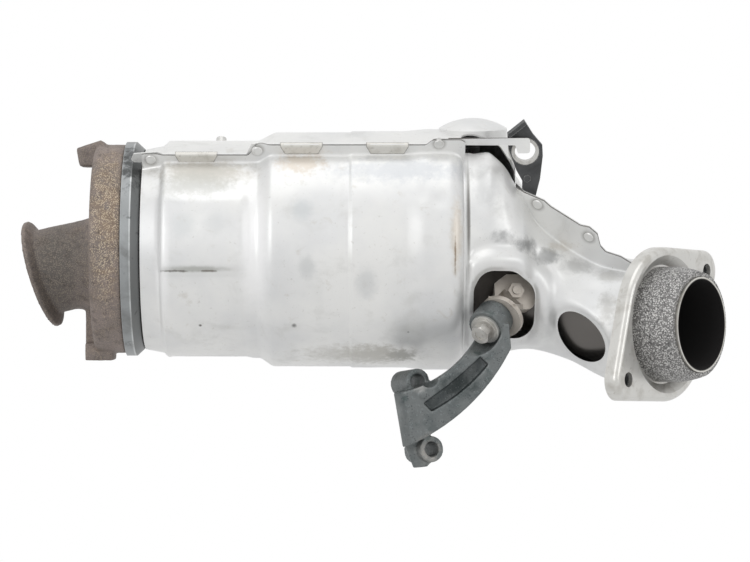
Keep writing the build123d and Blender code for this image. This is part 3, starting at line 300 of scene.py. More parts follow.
def dress(piece, stands_for=()):
    """Finishes a piece: it rides on the part and stands for its CAD nodes, which it hides."""
    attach(piece, "root")
    if stands_for:
        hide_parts(*stands_for)


def give_materials(piece, *names):
    """Puts finishes on a piece by name; a sheet's second one is for its cut edges."""
    piece.data.materials.clear()
    for name in names:
        piece.data.materials.append(finishes[name])


def add_sheet(name, points, finish, thickness, stands_for=(), flip=True, openings=(), sharp=38.0):
    """Sheet of a thickness behind the modelled surface, with openings cut through it.

    It is shaded smooth, apart from edges that are sharper than an angle in degrees.
    """
    piece = grid_object(name, points, flip)
    give_materials(piece, finish, "cut_edge")
    wall = piece.modifiers.new("wall", "SOLIDIFY")
    wall.thickness = thickness * MM
    wall.offset = -1.0
    wall.use_even_offset = True
    wall.material_offset_rim = 1
    bake_modifiers(piece)
    for outline in openings:
        cut_through(piece, outline)
    piece.data.shade_smooth()
    piece.data.set_sharp_from_angle(angle=radians(sharp))
    dress(piece, stands_for)


def smooth_step(value, start, end):
    """0 before start, 1 after end, and 3u^2 - 2u^3 of the share u between them."""
    u = np.clip((value - start) / (end - start), 0.0, 1.0)
    return u * u * (3.0 - 2.0 * u)


def bump_on(value, start, full, leave, end):
    """Rises from 0 to 1 between start and full, and falls back to 0 between leave and end."""
    return smooth_step(value, start, full) * (1.0 - smooth_step(value, leave, end))


def field(value, height, leave, end):
    """The height up to leave, falling by a smooth step to 0 at end."""
    return height * (1.0 - smooth_step(value, leave, end))


def bell(value, height, place, width):
    """The height times e to the power of minus the square of the distance from place in widths."""
    return height * np.exp(-((value - place) / width) ** 2)


def ripples(a, b, seed, size):
    """Sum of six sine waves over two coordinates, between -1 and 1.

    Their directions are random, and their wavelengths are near size.
    """
    picker = np.random.default_rng(seed)
    total = np.zeros(np.broadcast(a, b).shape)
    for _ in range(6):
        angle = picker.uniform(0, 2 * pi)
        wave = 2 * pi / (size * picker.uniform(0.6, 1.6))
        total += np.sin(wave * (a * cos(angle) + b * sin(angle)) + picker.uniform(0, 2 * pi))
    return total / 6.0


# Can shield

def can_profile(x):
    """Radius of the can's shield at x: a rim, then smooth steps up, and a rounded end that turns in."""
    rim = RIM_R + RIM_RISE * np.clip((x - RIM_START) / (RIM_END - RIM_START), 0, 1)
    rim_full = RIM_R + RIM_RISE
    r = rim + (FRONT_R - rim_full) * smooth_step(x, RIM_END, RIM_END + RIM_STEP)
    r += (MIDDLE_R - FRONT_R) * smooth_step(x, SLOPE_START, SLOPE_END)
    r += (REAR_R - MIDDLE_R) * smooth_step(x, STEP_LINE, STEP_LINE + STEP_LENGTH)
    r += (BEAD_R - REAR_R) * smooth_step(x, BEAD_START, BEAD_FULL)
    turn = np.clip((x - ROUND_START) / (LIP_X - ROUND_START), 0, 1)
    return r - (BEAD_R - LIP_R) * (1.0 - np.sqrt(1.0 - turn ** 2))


def can_relief(x, a):
    """Height of the pressed forms on the front half, over x and the angle a in degrees.

    The panels, a slanted rib, and waves less dents where the skin may be uneven.
    """
    height = sum(rise * (bump_on(x, *along) * bump_on(a, *turn)) for rise, along, turn in CAN_PANELS)
    rib_x = RIB_X + RIB_SLANT * (a - RIB_MIDDLE)
    height += bell(x, RIB_RISE, rib_x, RIB_WIDTH) * bump_on(a, *RIB_SPAN)
    dents = sum(bell(x, depth, at_x, size_x) * bell(a, 1.0, at_a, size_a)
                for depth, at_x, size_x, at_a, size_a in CAN_DENTS)
    waves = sum(rise * ripples(x, a * ARC_OF_DEGREE, seed, size) for rise, seed, size in CAN_WAVES)
    return height + smooth_step(a, *UNEVEN_TURN) * bump_on(x, *UNEVEN_X) * (waves - dents)


def flange_edge(x):
    """Outer edge of the can's seam flange at x, as a distance from the axis.

    A low run, a smooth step up and a high run, with an ear added at each rivet.
    """
    low = FRONT_R + LOW_FLANGE
    high = REAR_R + HIGH_FLANGE
    edge = low + (high - low) * smooth_step(x, *FLANGE_STEP)
    return edge + sum(rise * bump_on(x, *span) for rise, span in FLANGE_EARS)


def seam_point(x, s, d):
    """Point from x, the distance s along the seam and the distance d in front of it."""
    x, s, d = np.broadcast_arrays(x, s, d)
    across = s[..., None] * SEAM_UP - d[..., None] * SEAM_BACK
    return np.concatenate([x[..., None], across[..., 1:]], axis=-1)


def make_can_shield():
    """Front half of the can's shield, as cross-sections over x from the rim to the lip.

    Each runs down the flat seam flange from its edge, round a small concave bend, round the can at
    the profile's radius plus the relief, and out along the lower flange, which mirrors the upper one.
    """
    x = np.concatenate([
        np.arange(RIM_START, ROUND_START, 1.0),
        ROUND_START + (LIP_X - ROUND_START) * np.sin(np.linspace(0, pi / 2, 14)),
        np.linspace(LIP_X + 0.5, SHIELD_END, 4),
    ])[:, None]
    edge_s, radius = flange_edge(x), can_profile(x)
    share = np.linspace(0.0, 1.0, 9)[None, :]
    centre_d = SHEET + SEAM_ROOT_R
    centre_s = np.sqrt((radius + SEAM_ROOT_R) ** 2 - centre_d ** 2)
    start = np.arctan2(centre_d, centre_s)
    flange_s = edge_s + (centre_s - edge_s) * share
    flange_d = np.full_like(flange_s, SHEET)
    turn = -pi / 2 - (pi / 2 - start) * share
    bend_s = (centre_s + SEAM_ROOT_R * np.cos(turn))[:, 1:-1]
    bend_d = (centre_d + SEAM_ROOT_R * np.sin(turn))[:, 1:-1]
    a = start + (pi - 2 * start) * np.linspace(0.0, 1.0, 161)[None, :]
    r = radius + can_relief(x, np.degrees(a))
    s = np.concatenate([flange_s, bend_s, r * np.cos(a), -bend_s[:, ::-1], -flange_s[:, ::-1]], axis=1)
    d = np.concatenate([flange_d, bend_d, r * np.sin(a), bend_d[:, ::-1], flange_d], axis=1)
    points = seam_point(x, s, d)
    add_sheet("can_shield_front", points, "can_shield", SHEET, ["body_shield_front"])


# Outlet shield

def through_keys(keys, t):
    """Smooth curve through the rows of keys: the Catmull-Rom cubic of four neighbours at each t."""
    keys = np.vstack([keys[0], keys, keys[-1]])
    i = np.clip(t.astype(int), 0, len(keys) - 4)
    u = (t - i)[:, None]
    before, start, end, after = keys[i], keys[i + 1], keys[i + 2], keys[i + 3]
    bend = 2 * before - 5 * start + 4 * end - after
    cubic = 3 * start - before - 3 * end + after
    return 0.5 * (2 * start + (end - before) * u + bend * u ** 2 + cubic * u ** 3)


def window_corners():
    """The window's corners, moved inwards by their radius, and its sides' inward normals.

    The sides run clockwise, so a side's inward normal is the side turned right by 90 degrees.
    """
    points = np.array(WINDOW)
    side = np.roll(points, -1, axis=0) - points
    side /= np.linalg.norm(side, axis=1)[:, None]
    inward = np.stack([side[:, 1], -side[:, 0]], axis=1)
    last = np.roll(inward, 1, axis=0)
    share = 1.0 + np.sum(inward * last, axis=1)
    return points + (inward + last) * WINDOW_R / share[:, None], inward


def window_outline():
    """Outline of the window, with an arc at each corner between its sides' outward normals."""
    corners, inward = window_corners()
    last = np.roll(inward, 1, axis=0)
    before = np.arctan2(-last[:, 1], -last[:, 0])
    swing = np.arctan2(-inward[:, 1], -inward[:, 0]) - before
    swing = (swing + pi) % (2 * pi) - pi
    turn = before[:, None] + swing[:, None] * np.linspace(0, 1, 9)[None, :]
    arcs = corners[:, None, :] + WINDOW_R * np.stack([np.cos(turn), np.sin(turn)], axis=-1)
    return arcs.reshape(-1, 2)


def window_distance(x, z):
    """Distance outside the window: the distance to its inset polygon less the corner radius."""
    corners, inward = window_corners()
    here = np.stack([x, z], axis=-1)
    nearest = np.full(x.shape, np.inf)
    depth = np.full(x.shape, np.inf)
    for k, start in enumerate(corners):
        side = corners[(k + 1) % len(corners)] - start
        share = np.clip(((here - start) @ side) / (side @ side), 0.0, 1.0)
        away = np.linalg.norm(here - start - share[..., None] * side, axis=-1)
        nearest = np.minimum(nearest, away)
        depth = np.minimum(depth, (here - start) @ inward[k])
    return np.where(depth > 0, -nearest, nearest) - WINDOW_R


def oval_outline():
    """The tilted ellipse of the oval hole."""
    turn = np.linspace(0, -2 * pi, 64, endpoint=False)
    long, wide = OVAL_LENGTH / 2 * np.cos(turn), OVAL_WIDTH / 2 * np.sin(turn)
    return np.stack([OVAL_X + long * cos(OVAL_TILT) - wide * sin(OVAL_TILT),
                     OVAL_Z + long * sin(OVAL_TILT) + wide * cos(OVAL_TILT)], axis=1)


def oval_distance(x, z):
    """Rough distance outside the oval hole: how far the ellipse would have to grow to the point."""
    long = (x - OVAL_X) * cos(OVAL_TILT) + (z - OVAL_Z) * sin(OVAL_TILT)
    wide = (z - OVAL_Z) * cos(OVAL_TILT) - (x - OVAL_X) * sin(OVAL_TILT)
    return (np.hypot(long * 2 / OVAL_LENGTH, wide * 2 / OVAL_WIDTH) - 1.0) * OVAL_WIDTH / 2


def outlet_relief(x, z):
    """Height of the pressed forms, over x and z.

    A raised field with a crest round the window, a valley above it, edges that roll in at both
    openings, a crest round the oval hole, and waves.
    """
    away = window_distance(x, z)
    from_oval = oval_distance(x, z)
    height = sum(field(away, *values) for values in WINDOW_FIELDS) + bell(away, *WINDOW_CREST)
    height += bell(away, *WINDOW_VALLEY) * smooth_step(z, *VALLEY_Z)
    height += field(from_oval, *OVAL_FIELD) + bell(from_oval, *OVAL_CREST)
    waves = sum(rise * ripples(x, z, seed, size) for rise, seed, size in OUTLET_WAVES)
    return smooth_step(x, *RELIEF_START) * (height + field(x, 1.0, *OUTLET_WAVES_END) * waves)


def seam_crossing(centre, radius, turn, low, high):
    """Angle from the top at which each section's ring meets the seam, between two angles in degrees."""
    angle = np.radians(np.linspace(low, high, 481))[None, :]
    x = centre[:, :1] - radius[:, None] * np.sin(angle) * np.sin(turn)[:, None]
    y = centre[:, 1:2] - radius[:, None] * np.sin(angle) * np.cos(turn)[:, None]
    z = centre[:, 2:] + radius[:, None] * np.cos(angle)
    behind = y * SEAM_BACK[1] + z * SEAM_BACK[2] - np.interp(x, *SEAM_LINE)
    behind = behind if high > 180 else -behind
    k = np.maximum(np.argmax(behind > 0, axis=1), 1)
    rows = np.arange(len(k))
    share = behind[rows, k - 1] / (behind[rows, k - 1] - behind[rows, k])
    return angle[0, k - 1] + (angle[0, k] - angle[0, k - 1]) * share


def on_seam(x, s):
    """Point of the outlet's bent seam, on the front sheet's face, from x and the height s in it."""
    back = np.interp(x, *SEAM_LINE) - SHEET
    across = s[..., None] * SEAM_UP + back[..., None] * SEAM_BACK
    return np.concatenate([x[..., None], across[..., 1:]], axis=-1)


def bend_between(start, middle, end):
    """Quadratic curve from start to end along the lines to middle, without its two ends."""
    u = np.linspace(0, 1, 8)[None, 1:-1, None]
    return start[:, None] * (1 - u) ** 2 + 2 * middle[:, None] * u * (1 - u) + end[:, None] * u ** 2


def make_outlet_shield():
    """Front half of the outlet's shield.

    Each cross-section runs down the seam flange, round a concave bend, round the duct's ring of
    through_keys(OUTLET_KEYS) at its radius plus the shoulder and the relief, and out along the
    lower flange.
    """
    keys = np.array(OUTLET_KEYS)
    gaps = np.linalg.norm(np.diff(keys[:, :3], axis=0), axis=1)
    t = [k + np.arange(0.0, 1.0, OUTLET_STEP / gap) for k, gap in enumerate(gaps)]
    rows = through_keys(keys, np.concatenate(t + [[len(keys) - 1.0]]))
    centre, radius, turn = rows[:, :3], rows[:, 3], np.radians(rows[:, 4])
    top = seam_crossing(centre, radius, turn, -40, 120)
    bottom = seam_crossing(centre, radius, turn, 140, 300)
    forward = np.stack([-np.sin(turn), -np.cos(turn), np.zeros(len(rows))], axis=1)[:, None, :]
    upward = np.array([0.0, 0.0, 1.0])

    def ring(angle, relief=True):
        """Points of every section at its angles from the top, with or without the relief."""
        angle = angle.reshape(len(rows), -1)
        shoulder = bump_on(centre[:, :1], *SHOULDER_X) * field(angle, SHOULDER_RISE, *SHOULDER_TURN)
        out = np.cos(angle)[..., None] * upward + np.sin(angle)[..., None] * forward
        flat = centre[:, None, :] + (radius[:, None] + shoulder)[..., None] * out
        if not relief:
            return flat
        facing = smooth_step(np.sin(angle), *RELIEF_FACING)
        return flat + (outlet_relief(flat[..., 0], flat[..., 2]) * facing)[..., None] * out

    bend = OUTLET_ROOT_R / radius
    sweep = np.linspace(0, 1, 176)[None, :]
    duct = ring((top + bend)[:, None] + (bottom - top - 2 * bend)[:, None] * sweep)
    upper, lower = ring(top, False)[:, 0], ring(bottom, False)[:, 0]
    upper_x, lower_x = upper[:, 0], lower[:, 0]
    upper_s, lower_s = upper @ SEAM_UP, lower @ SEAM_UP
    least = upper_s + LEAST_FLANGE
    edge = np.where(upper_x > FLANGE_FROM, np.interp(upper_x, *SEAM_TOP_EDGE.T), least)
    edge = np.maximum(edge, least)
    low_edge = lower_s - np.interp(lower_x, *LOWER_FLANGE)
    foot = np.minimum(edge, upper_s + OUTLET_ROOT_R)
    low_foot = np.maximum(low_edge, lower_s - OUTLET_ROOT_R)

    def flange(x, start, end):
        """Points on the seam at each section's x, from the height start to the height end."""
        s = start[:, None] + (end - start)[:, None] * np.linspace(0, 1, 12)[None, :]
        return on_seam(np.repeat(x[:, None], 12, axis=1), s)

    upper_flange = flange(upper_x, edge, foot)
    lower_flange = flange(lower_x, low_foot, low_edge)
    points = np.concatenate([
        upper_flange,
        bend_between(upper_flange[:, -1], on_seam(upper_x, upper_s), duct[:, 0]),
        duct,
        bend_between(duct[:, -1], on_seam(lower_x, lower_s), lower_flange[:, 0]),
        lower_flange,
    ], axis=1)
    openings = (window_outline(), oval_outline())
    add_sheet("outlet_shield_pressing", points, "outlet_sheet", SHEET, ["outlet_shield_front"],
              openings=openings, sharp=32.0)


def cut_through(piece, outline):
    """Cuts an opening with a straight column whose outline is given in x and z.

    The faces that it leaves have the finish of cut edges.
    """
    count = len(outline)
    ends = np.array([CUT_NEAR, CUT_FAR])
    points = np.stack(np.broadcast_arrays(outline[None, :, 0], ends[:, None], outline[None, :, 1]), -1)
    faces = grid_faces(2, count, wrap=True)
    faces += [list(range(count))[::-1], list(range(count, 2 * count))]
    column = new_object("cut_column", to_scene(points.reshape(-1, 3)), faces)
    shell = bmesh.new()
    shell.from_mesh(column.data)
    bmesh.ops.recalc_face_normals(shell, faces=shell.faces)
    shell.to_mesh(column.data)
    shell.free()
    give_materials(column, "sheet", "cut_edge")
    cut_slots = np.ones(len(column.data.polygons), np.int32)
    column.data.polygons.foreach_set("material_index", cut_slots)
    cut = piece.modifiers.new("opening", "BOOLEAN")
    cut.operation = "DIFFERENCE"
    cut.solver = "EXACT"
    cut.object = column
    bake_modifiers(piece)
    bpy.data.objects.remove(column)


# Tabs and strip

def make_seam_tab(x):
    """Tab of the rear sheet that is folded over the seam: a folded profile carried along x.

    The profile runs up the front face, round the fold's quarter circle and straight back. The
    tab's half width shrinks evenly from its fold to its free edge.
    """
    outer = FRONT_R + TAB_LOW if x < SLOPE_START else REAR_R + TAB_HIGH
    u = np.linspace(-1, 1, 13)[:, None]
    turn = np.linspace(0, pi / 2, 7)
    face_s = np.linspace(outer - TAB_DEPTH, outer, 7)[:-1]
    face_d = np.full(6, TAB_MIDDLE + TAB_FOLD_R)
    s = np.concatenate([face_s, outer + TAB_FOLD_R * np.sin(turn), [outer + TAB_FOLD_R]])[None, :]
    d = np.concatenate([face_d, TAB_MIDDLE + TAB_FOLD_R * np.cos(turn), [TAB_BACK]])[None, :]
    half = TAB_HALF - TAB_TAPER * np.clip((outer - s) / TAB_DEPTH, 0, 1)
    points = seam_point(x + u * half, s, d)
    add_sheet("seam_tab_%d" % round(x + 200), points, "tab", TAB_SHEET, flip=False)


def on_stay(u, v, w):
    """Point on the leaning stay plate, from the place across it, up it and in front of it."""
    u, v, w = np.broadcast_arrays(u, v, w)
    y = STAY_Y - v * sin(STAY_LEAN) - w * cos(STAY_LEAN)
    z = STAY_Z + v * cos(STAY_LEAN) - w * sin(STAY_LEAN)
    return np.stack([STAY_X + u, y, z], axis=-1)


def make_seam_strip():
    """Flat strip from the seam to the stay plate: its top and lower edges run straight to a wider pad.

    The pad's lower edge drops in a smooth step, and its far end is rounded at both corners.
    """
    across = np.linspace(0, 1, 7)[None, :]
    seam_x = np.array(STRIP_SEAM_X)[:, None]
    along_seam = seam_point(seam_x, STRIP_SEAM_TOP - STRIP_HEIGHT * across, -SHEET)
    round_start = PAD_RIGHT - PAD_CORNER
    u = np.concatenate([
        np.linspace(PAD_LEFT, PAD_LEFT + 3.0, 9),
        PAD_RIGHT - PAD_CORNER * (1 - np.linspace(0, 1, 7) ** 0.5),
    ])
    corner = PAD_CORNER - np.sqrt(np.maximum(PAD_CORNER ** 2 - (u - round_start).clip(0.0) ** 2, 0.0))
    drop = (PAD_HEIGHT - STRIP_HEIGHT) * smooth_step(u, PAD_LEFT, PAD_LEFT + PAD_DROP)
    low = PAD_TOP - STRIP_HEIGHT - drop + corner
    high = PAD_TOP - corner
    pad = on_stay(u[:, None], high[:, None] + (low - high)[:, None] * across, STRIP_THICKNESS)
    share = np.linspace(0, 1, 24)[1:-1, None, None]
    ribbon = along_seam[1][None] * (1 - share) + pad[0][None] * share
    points = np.concatenate([along_seam, ribbon, pad])
    add_sheet("seam_strip", points, "sheet", STRIP_THICKNESS, ["shield_strip"])


# Castings

def cast_copy(node, name, voxel, rounding, rough_height, rough_size, seed):
    """Copy of a CAD node, remeshed in voxels so that its corners can be rounded.

    Each point of the skin then moves along its normal by rough_height times a broad and a fine sum
    of ripples over its place, with wavelengths near rough_size and a part of it.
    """
    mesh = nodes[node].data.copy()
    piece = link(bpy.data.objects.new(name, mesh))
    shell = bmesh.new()
    shell.from_mesh(mesh)
    bmesh.ops.remove_doubles(shell, verts=shell.verts, dist=1e-6)
    shell.to_mesh(mesh)
    shell.free()
    remesh = piece.modifiers.new("skin", "REMESH")
    remesh.mode = "VOXEL"
    remesh.voxel_size = voxel * MM
    soften = piece.modifiers.new("rounding", "SMOOTH")
    soften.factor = 0.5
    soften.iterations = rounding
    bake_modifiers(piece)
    points = np.empty(len(piece.data.vertices) * 3)
    normals = np.empty_like(points)
    piece.data.vertices.foreach_get("co", points)
    piece.data.vertices.foreach_get("normal", normals)
    points = points.reshape(-1, 3)
    x, y, z = ((points - CAN_ORIGIN) / MM).T
    lift = ripples(x + y, z - y, seed, rough_size)
    lift += 0.6 * ripples(y - x, z + x, seed + 1, rough_size * 0.45)
    points += normals.reshape(-1, 3) * (lift * rough_height * MM)[:, None]
    piece.data.vertices.foreach_set("co", points.ravel())
    piece.data.update()
    piece.data.shade_smooth()
    return piece


# Node trees

class Graph:
    """Adds nodes to one tree. A value given for an input is a number or the socket that feeds it."""

    def __init__(self, tree):
        self.tree = tree

    def feed(self, socket, value):
        """Links a socket to an input, or sets the input's own value."""
        if isinstance(value, bpy.types.NodeSocket):
            self.tree.links.new(value, socket)
        else:
            socket.default_value = value

    def node(self, kind, inputs=(), **settings):
        """New node of a kind with its settings and inputs."""
        made = self.tree.nodes.new("ShaderNode" + kind)
        for name, value in settings.items():
            setattr(made, name, value)
        for key, value in dict(inputs).items():
            self.feed(made.inputs[key], value)
        return made

    def noise(self, where, scale, detail=4.0, roughness=0.55, distortion=0.0):
        """Cloudy number between 0 and 1."""
        return self.node("TexNoise", {
            "Vector": where, "Scale": scale, "Detail": detail, "Roughness": roughness,
            "Distortion": distortion,
        }).outputs[0]

    def cells(self, where, scale):
        """Distance to the nearest of scattered points."""
        return self.node("TexVoronoi", {"Vector": where, "Scale": scale}).outputs[0]

    def math(self, operation, a, b=0.0, clamp=False):
        return self.node("Math", {0: a, 1: b}, operation=operation, use_clamp=clamp).outputs[0]

    def vector(self, operation, inputs, output="Vector"):
        return self.node("VectorMath", inputs, operation=operation).outputs[output]

    def span(self, value, low, high, to_low=0.0, to_high=1.0):
        """Value mapped smoothly from low..high to to_low..to_high, and held beyond them."""
        values = {"Value": value, "From Min": low, "From Max": high, "To Min": to_low, "To Max": to_high}
        return self.node("MapRange", values, interpolation_type="SMOOTHSTEP").outputs[0]

    def mix(self, share, a, b):
        """Colour between a and b."""
        return self.node("Mix", {0: share, 6: a, 7: b}, data_type="RGBA").outputs[2]

    def blend(self, share, a, b):
        """Number between a and b."""
        return self.node("Mix", {0: share, 2: a, 3: b}, data_type="FLOAT").outputs[0]

    def bump(self, height, strength, distance):
        """Normal that is tilted by a height, over a distance in millimetres."""
        values = {"Height": height, "Strength": strength, "Distance": distance * MM}
        return self.node("Bump", values).outputs[0]


def colour(red, green, blue):
    """Colour from 0 to 255 values of a picture, as the linear values that a shader takes."""
    def linear(v):
        v /= 255.0
        return v / 12.92 if v <= 0.04045 else ((v + 0.055) / 1.055) ** 2.4
    return (linear(red), linear(green), linear(blue), 1.0)


def new_group(name, inputs):
    """Node group that puts out a mask: its graph, the inputs inside it, and its mask's socket.

    It takes a Vector and the named inputs, each with its first value, a number or a vector.
    """
    group = bpy.data.node_groups.new(name, "ShaderNodeTree")
    group.interface.new_socket(name="Vector", in_out="INPUT", socket_type="NodeSocketVector")
    for label, value in inputs.items():
        kind = "NodeSocketFloat" if isinstance(value, float) else "NodeSocketVector"
        socket = group.interface.new_socket(name=label, in_out="INPUT", socket_type=kind)
        socket.default_value = value
    group.interface.new_socket(name="Mask", in_out="OUTPUT", socket_type="NodeSocketFloat")
    start = group.nodes.new("NodeGroupInput")
    end = group.nodes.new("NodeGroupOutput")
    return Graph(group), start.outputs, end.inputs["Mask"]


def blotch_group():
    """Soft stains: warped noise between two limits."""
    graph, given, mask = new_group("blotches", {"Scale": 20.0, "Low": 0.5, "High": 0.7})
    noise = graph.noise(given["Vector"], given["Scale"], 6.0, 0.6, 0.4)
    graph.feed(mask, graph.span(noise, given["Low"], given["High"]))
    return graph.tree


def speckle_group():
    """Small grains: cells whose middles pass a size limit, thinned out by a slower noise."""
    graph, given, mask = new_group("speckle", {"Scale": 600.0, "Size": 0.35, "Amount": 0.5})
    cell = graph.cells(given["Vector"], given["Scale"])
    grain = graph.span(cell, given["Size"], graph.math("MULTIPLY", given["Size"], 0.6))
    slow = graph.noise(given["Vector"], graph.math("MULTIPLY", given["Scale"], 0.35), 3.0)
    limit = graph.math("SUBTRACT", 1.0, given["Amount"])
    kept = graph.span(slow, limit, graph.math("ADD", limit, 0.12))
    graph.feed(mask, graph.math("MULTIPLY", grain, kept))
    return graph.tree


def edge_group():
    """Wear on edges: how far a rounded normal leaves the true one, broken up by noise."""
    graph, given, mask = new_group("edge_wear", {"Radius": 0.001, "Gain": 3.0})
    bevel = graph.node("Bevel", {"Radius": given["Radius"]}, samples=6).outputs[0]
    normal = graph.node("NewGeometry").outputs["Normal"]
    bent = graph.math("SUBTRACT", 1.0, graph.vector("DOT_PRODUCT", {0: bevel, 1: normal}, "Value"))
    broken = graph.span(graph.noise(given["Vector"], 350.0, 4.0), 0.3, 0.7, 0.3, 1.0)
    wear = graph.math("MULTIPLY", bent, given["Gain"])
    graph.feed(mask, graph.math("MULTIPLY", wear, broken, clamp=True))
    return graph.tree


def spot_group():
    """One soft-edged, ragged spot round a centre; Stretch divides the distance along each axis."""
    first = {"Centre": (0.0, 0.0, 0.0), "Stretch": (1.0, 1.0, 1.0), "Radius": 0.01, "Ragged": 0.3}
    graph, given, mask = new_group("spot", first)
    offset = graph.vector("SUBTRACT", {0: given["Vector"], 1: given["Centre"]})
    scaled = graph.vector("DIVIDE", {0: offset, 1: given["Stretch"]})
    share = graph.math("DIVIDE", graph.vector("LENGTH", {0: scaled}, "Value"), given["Radius"])
    wobble = graph.math("SUBTRACT", graph.noise(given["Vector"], 180.0, 5.0, 0.65), 0.5)
    ragged = graph.math("MULTIPLY", wobble, graph.math("MULTIPLY", given["Ragged"], 4.0))
    graph.feed(mask, graph.span(graph.math("ADD", share, ragged), 1.0, 0.25))
    return graph.tree


EFFECTS = {tree.name: tree for tree in (blotch_group(), speckle_group(), edge_group(), spot_group())}


class Finish(Graph):
    """One material: a Principled shader, Object coordinates and the masks of the shared effects.

    Colours are given as the 0 to 255 values of a picture, and lengths in millimetres.
    """

    def __init__(self, name, base, metallic, roughness):
        self.material = bpy.data.materials.new(name)
        self.material.use_nodes = True
        tree = self.material.node_tree
        super().__init__(tree)
        self.shader = tree.nodes["Principled BSDF"]
        self.where = self.node("TexCoord").outputs["Object"]
        self.tint = colour(*base)
        self.shader.inputs["Base Color"].default_value = self.tint
        self.shader.inputs["Metallic"].default_value = metallic
        self.shader.inputs["Roughness"].default_value = roughness

    def mask(self, effect, *values):
        """Mask of a shared effect, with the values of its inputs in their order."""
        made = self.node("Group", node_tree=EFFECTS[effect])
        for socket, value in zip(made.inputs, (self.where, *values)):
            self.feed(socket, value)
        return made.outputs["Mask"]

    def along_can(self):
        """Place along the can's axis, in millimetres."""
        x = self.node("SeparateXYZ", {0: self.where}).outputs[0]
        return self.math("DIVIDE", self.math("SUBTRACT", x, float(CAN_ORIGIN[0])), MM)

    def blotches(self, scale, low, high):
        return self.mask("blotches", scale, low, high)

    def speckle(self, scale, size, amount):
        return self.mask("speckle", scale, size, amount)

    def edges(self, radius, gain):
        return self.mask("edge_wear", radius * MM, gain)

    def spot(self, centre, radius, stretch, ragged):
        return self.mask("spot", tuple(to_scene(centre)), stretch, radius * MM, ragged)

    def paint(self, mask, shade, strength=1.0):
        """Lays a colour over what is there, by a mask times a strength."""
        share = mask if strength == 1.0 else self.math("MULTIPLY", mask, strength)
        self.tint = self.mix(share, self.tint, colour(*shade))

    def done(self, roughness=None, metallic=None, height=None, strength=0.3, distance=0.3):
        """Joins what was worked out to the shader."""
        self.feed(self.shader.inputs["Base Color"], self.tint)
        if roughness is not None:
            self.feed(self.shader.inputs["Roughness"], roughness)
        if metallic is not None:
            self.feed(self.shader.inputs["Metallic"], metallic)
        if height is not None:
            self.feed(self.shader.inputs["Normal"], self.bump(height, strength, distance))
        return self.material


# Finishes

def aluminised_sheet(name, spots=()):
    """Matt aluminised steel sheet: nearly white and cloudy, with faint stains and dark specks, and the
    given spots, which are painted highlights, painted shade and painted shadows round rivets as well as
    real stains.
    """
    finish = Finish(name, (236, 236, 234), 0.35, 0.38)
    cloud = finish.noise(finish.where, 14, 5, 0.55)
    finish.paint(finish.span(cloud, 0.35, 0.7), (219, 220, 221), 0.8)
    finish.paint(finish.blotches(34, 0.54, 0.74), (206, 206, 203), 0.5)
    finish.paint(finish.blotches(90, 0.6, 0.76), (190, 184, 173), 0.35)
    finish.paint(finish.blotches(420, 0.62, 0.74), (168, 164, 156), 0.35)
    # Spots: painted highlights, painted shade and painted rivet shadows, and some real stains
    for centre, radius, stretch, shade, strength, ragged in spots:
        finish.paint(finish.spot(centre, radius, stretch, ragged), shade, strength)
    finish.paint(finish.speckle(260, 0.12, 0.38), (120, 116, 108), 0.6)
    finish.paint(finish.edges(0.5, 4), (246, 246, 245), 0.5)
    grain = finish.noise(finish.where, 900, 3, 0.6)
    rough = finish.blend(finish.span(cloud, 0.3, 0.7), 0.3, 0.46)
    return finish.done(roughness=rough, height=grain, strength=0.12, distance=0.15)


def rusty_cast_iron():
    """Cast iron with a thin pinkish-brown rust, golden grains on the body and a darker neck."""
    finish = Finish("rusty_cast_iron", (144, 132, 127), 0.2, 0.66)
    broad = finish.noise(finish.where, 28, 6, 0.6)
    finish.paint(finish.span(broad, 0.35, 0.65), (120, 112, 107), 0.8)
    finish.paint(finish.blotches(60, 0.5, 0.7), (142, 126, 112), 0.4)
    neck = finish.spot((-236, -20, -15), 62, (0.62, 1, 1), 0.1)
    finish.paint(neck, (92, 88, 84), 0.85)
    finish.paint(finish.blotches(130, 0.5, 0.68), (84, 76, 71), 0.45)
    band = finish.spot((-196, -62, 20), 84, (0.2, 1, 1), 0.2)
    brown = finish.math("MULTIPLY", band, finish.blotches(70, 0.35, 0.65))
    finish.paint(brown, (150, 126, 98), 0.6)
    on_band = finish.span(band, 0, 0.8, 0.25, 1)
    golden = finish.math("MULTIPLY", finish.speckle(1050, 0.52, 0.64), on_band)
    finish.paint(golden, (208, 192, 168), 0.9)
    finish.paint(finish.speckle(760, 0.42, 0.5), (64, 58, 54), 0.55)
    finish.paint(finish.spot((-207, -74, -46), 7, (1, 1, 1.5), 0.6), (40, 37, 33), 0.8)
    finish.paint(finish.edges(1.2, 4), (158, 148, 140), 0.5)
    grain = finish.noise(finish.where, 520, 6, 0.7)
    return finish.done(height=grain, strength=0.5, distance=0.8)


def ring_steel():
    """Turned steel ring gone grey, with painted shade on its chamfer, a painted highlight along the
    corner before it, and black mottling at its top.
    """
    finish = Finish("ring_steel", (152, 155, 156), 0.55, 0.4)
    along = finish.along_can()
    # Painted shade on the chamfer
    finish.paint(finish.span(along, -178.4, -177.8), (104, 106, 106), 0.85)
    # Painted highlight along the chamfer's corner
    ahead = finish.span(along, -179.3, -178.5)
    behind = finish.span(along, -177.6, -178.3)
    finish.paint(finish.math("MULTIPLY", ahead, behind), (214, 217, 217), 0.7)
    finish.paint(finish.blotches(30, 0.45, 0.7), (116, 117, 116), 0.8)
    finish.paint(finish.blotches(120, 0.62, 0.72), (62, 64, 64), 0.6)
    finish.paint(finish.spot((-177, -48, 62), 30, (0.5, 1, 1), 0.6), (48, 50, 50), 0.85)
    finish.paint(finish.edges(0.8, 6), (192, 196, 196), 0.8)
    grain = finish.noise(finish.where, 300, 5, 0.6)
    return finish.done(height=grain, strength=0.25, distance=0.5)


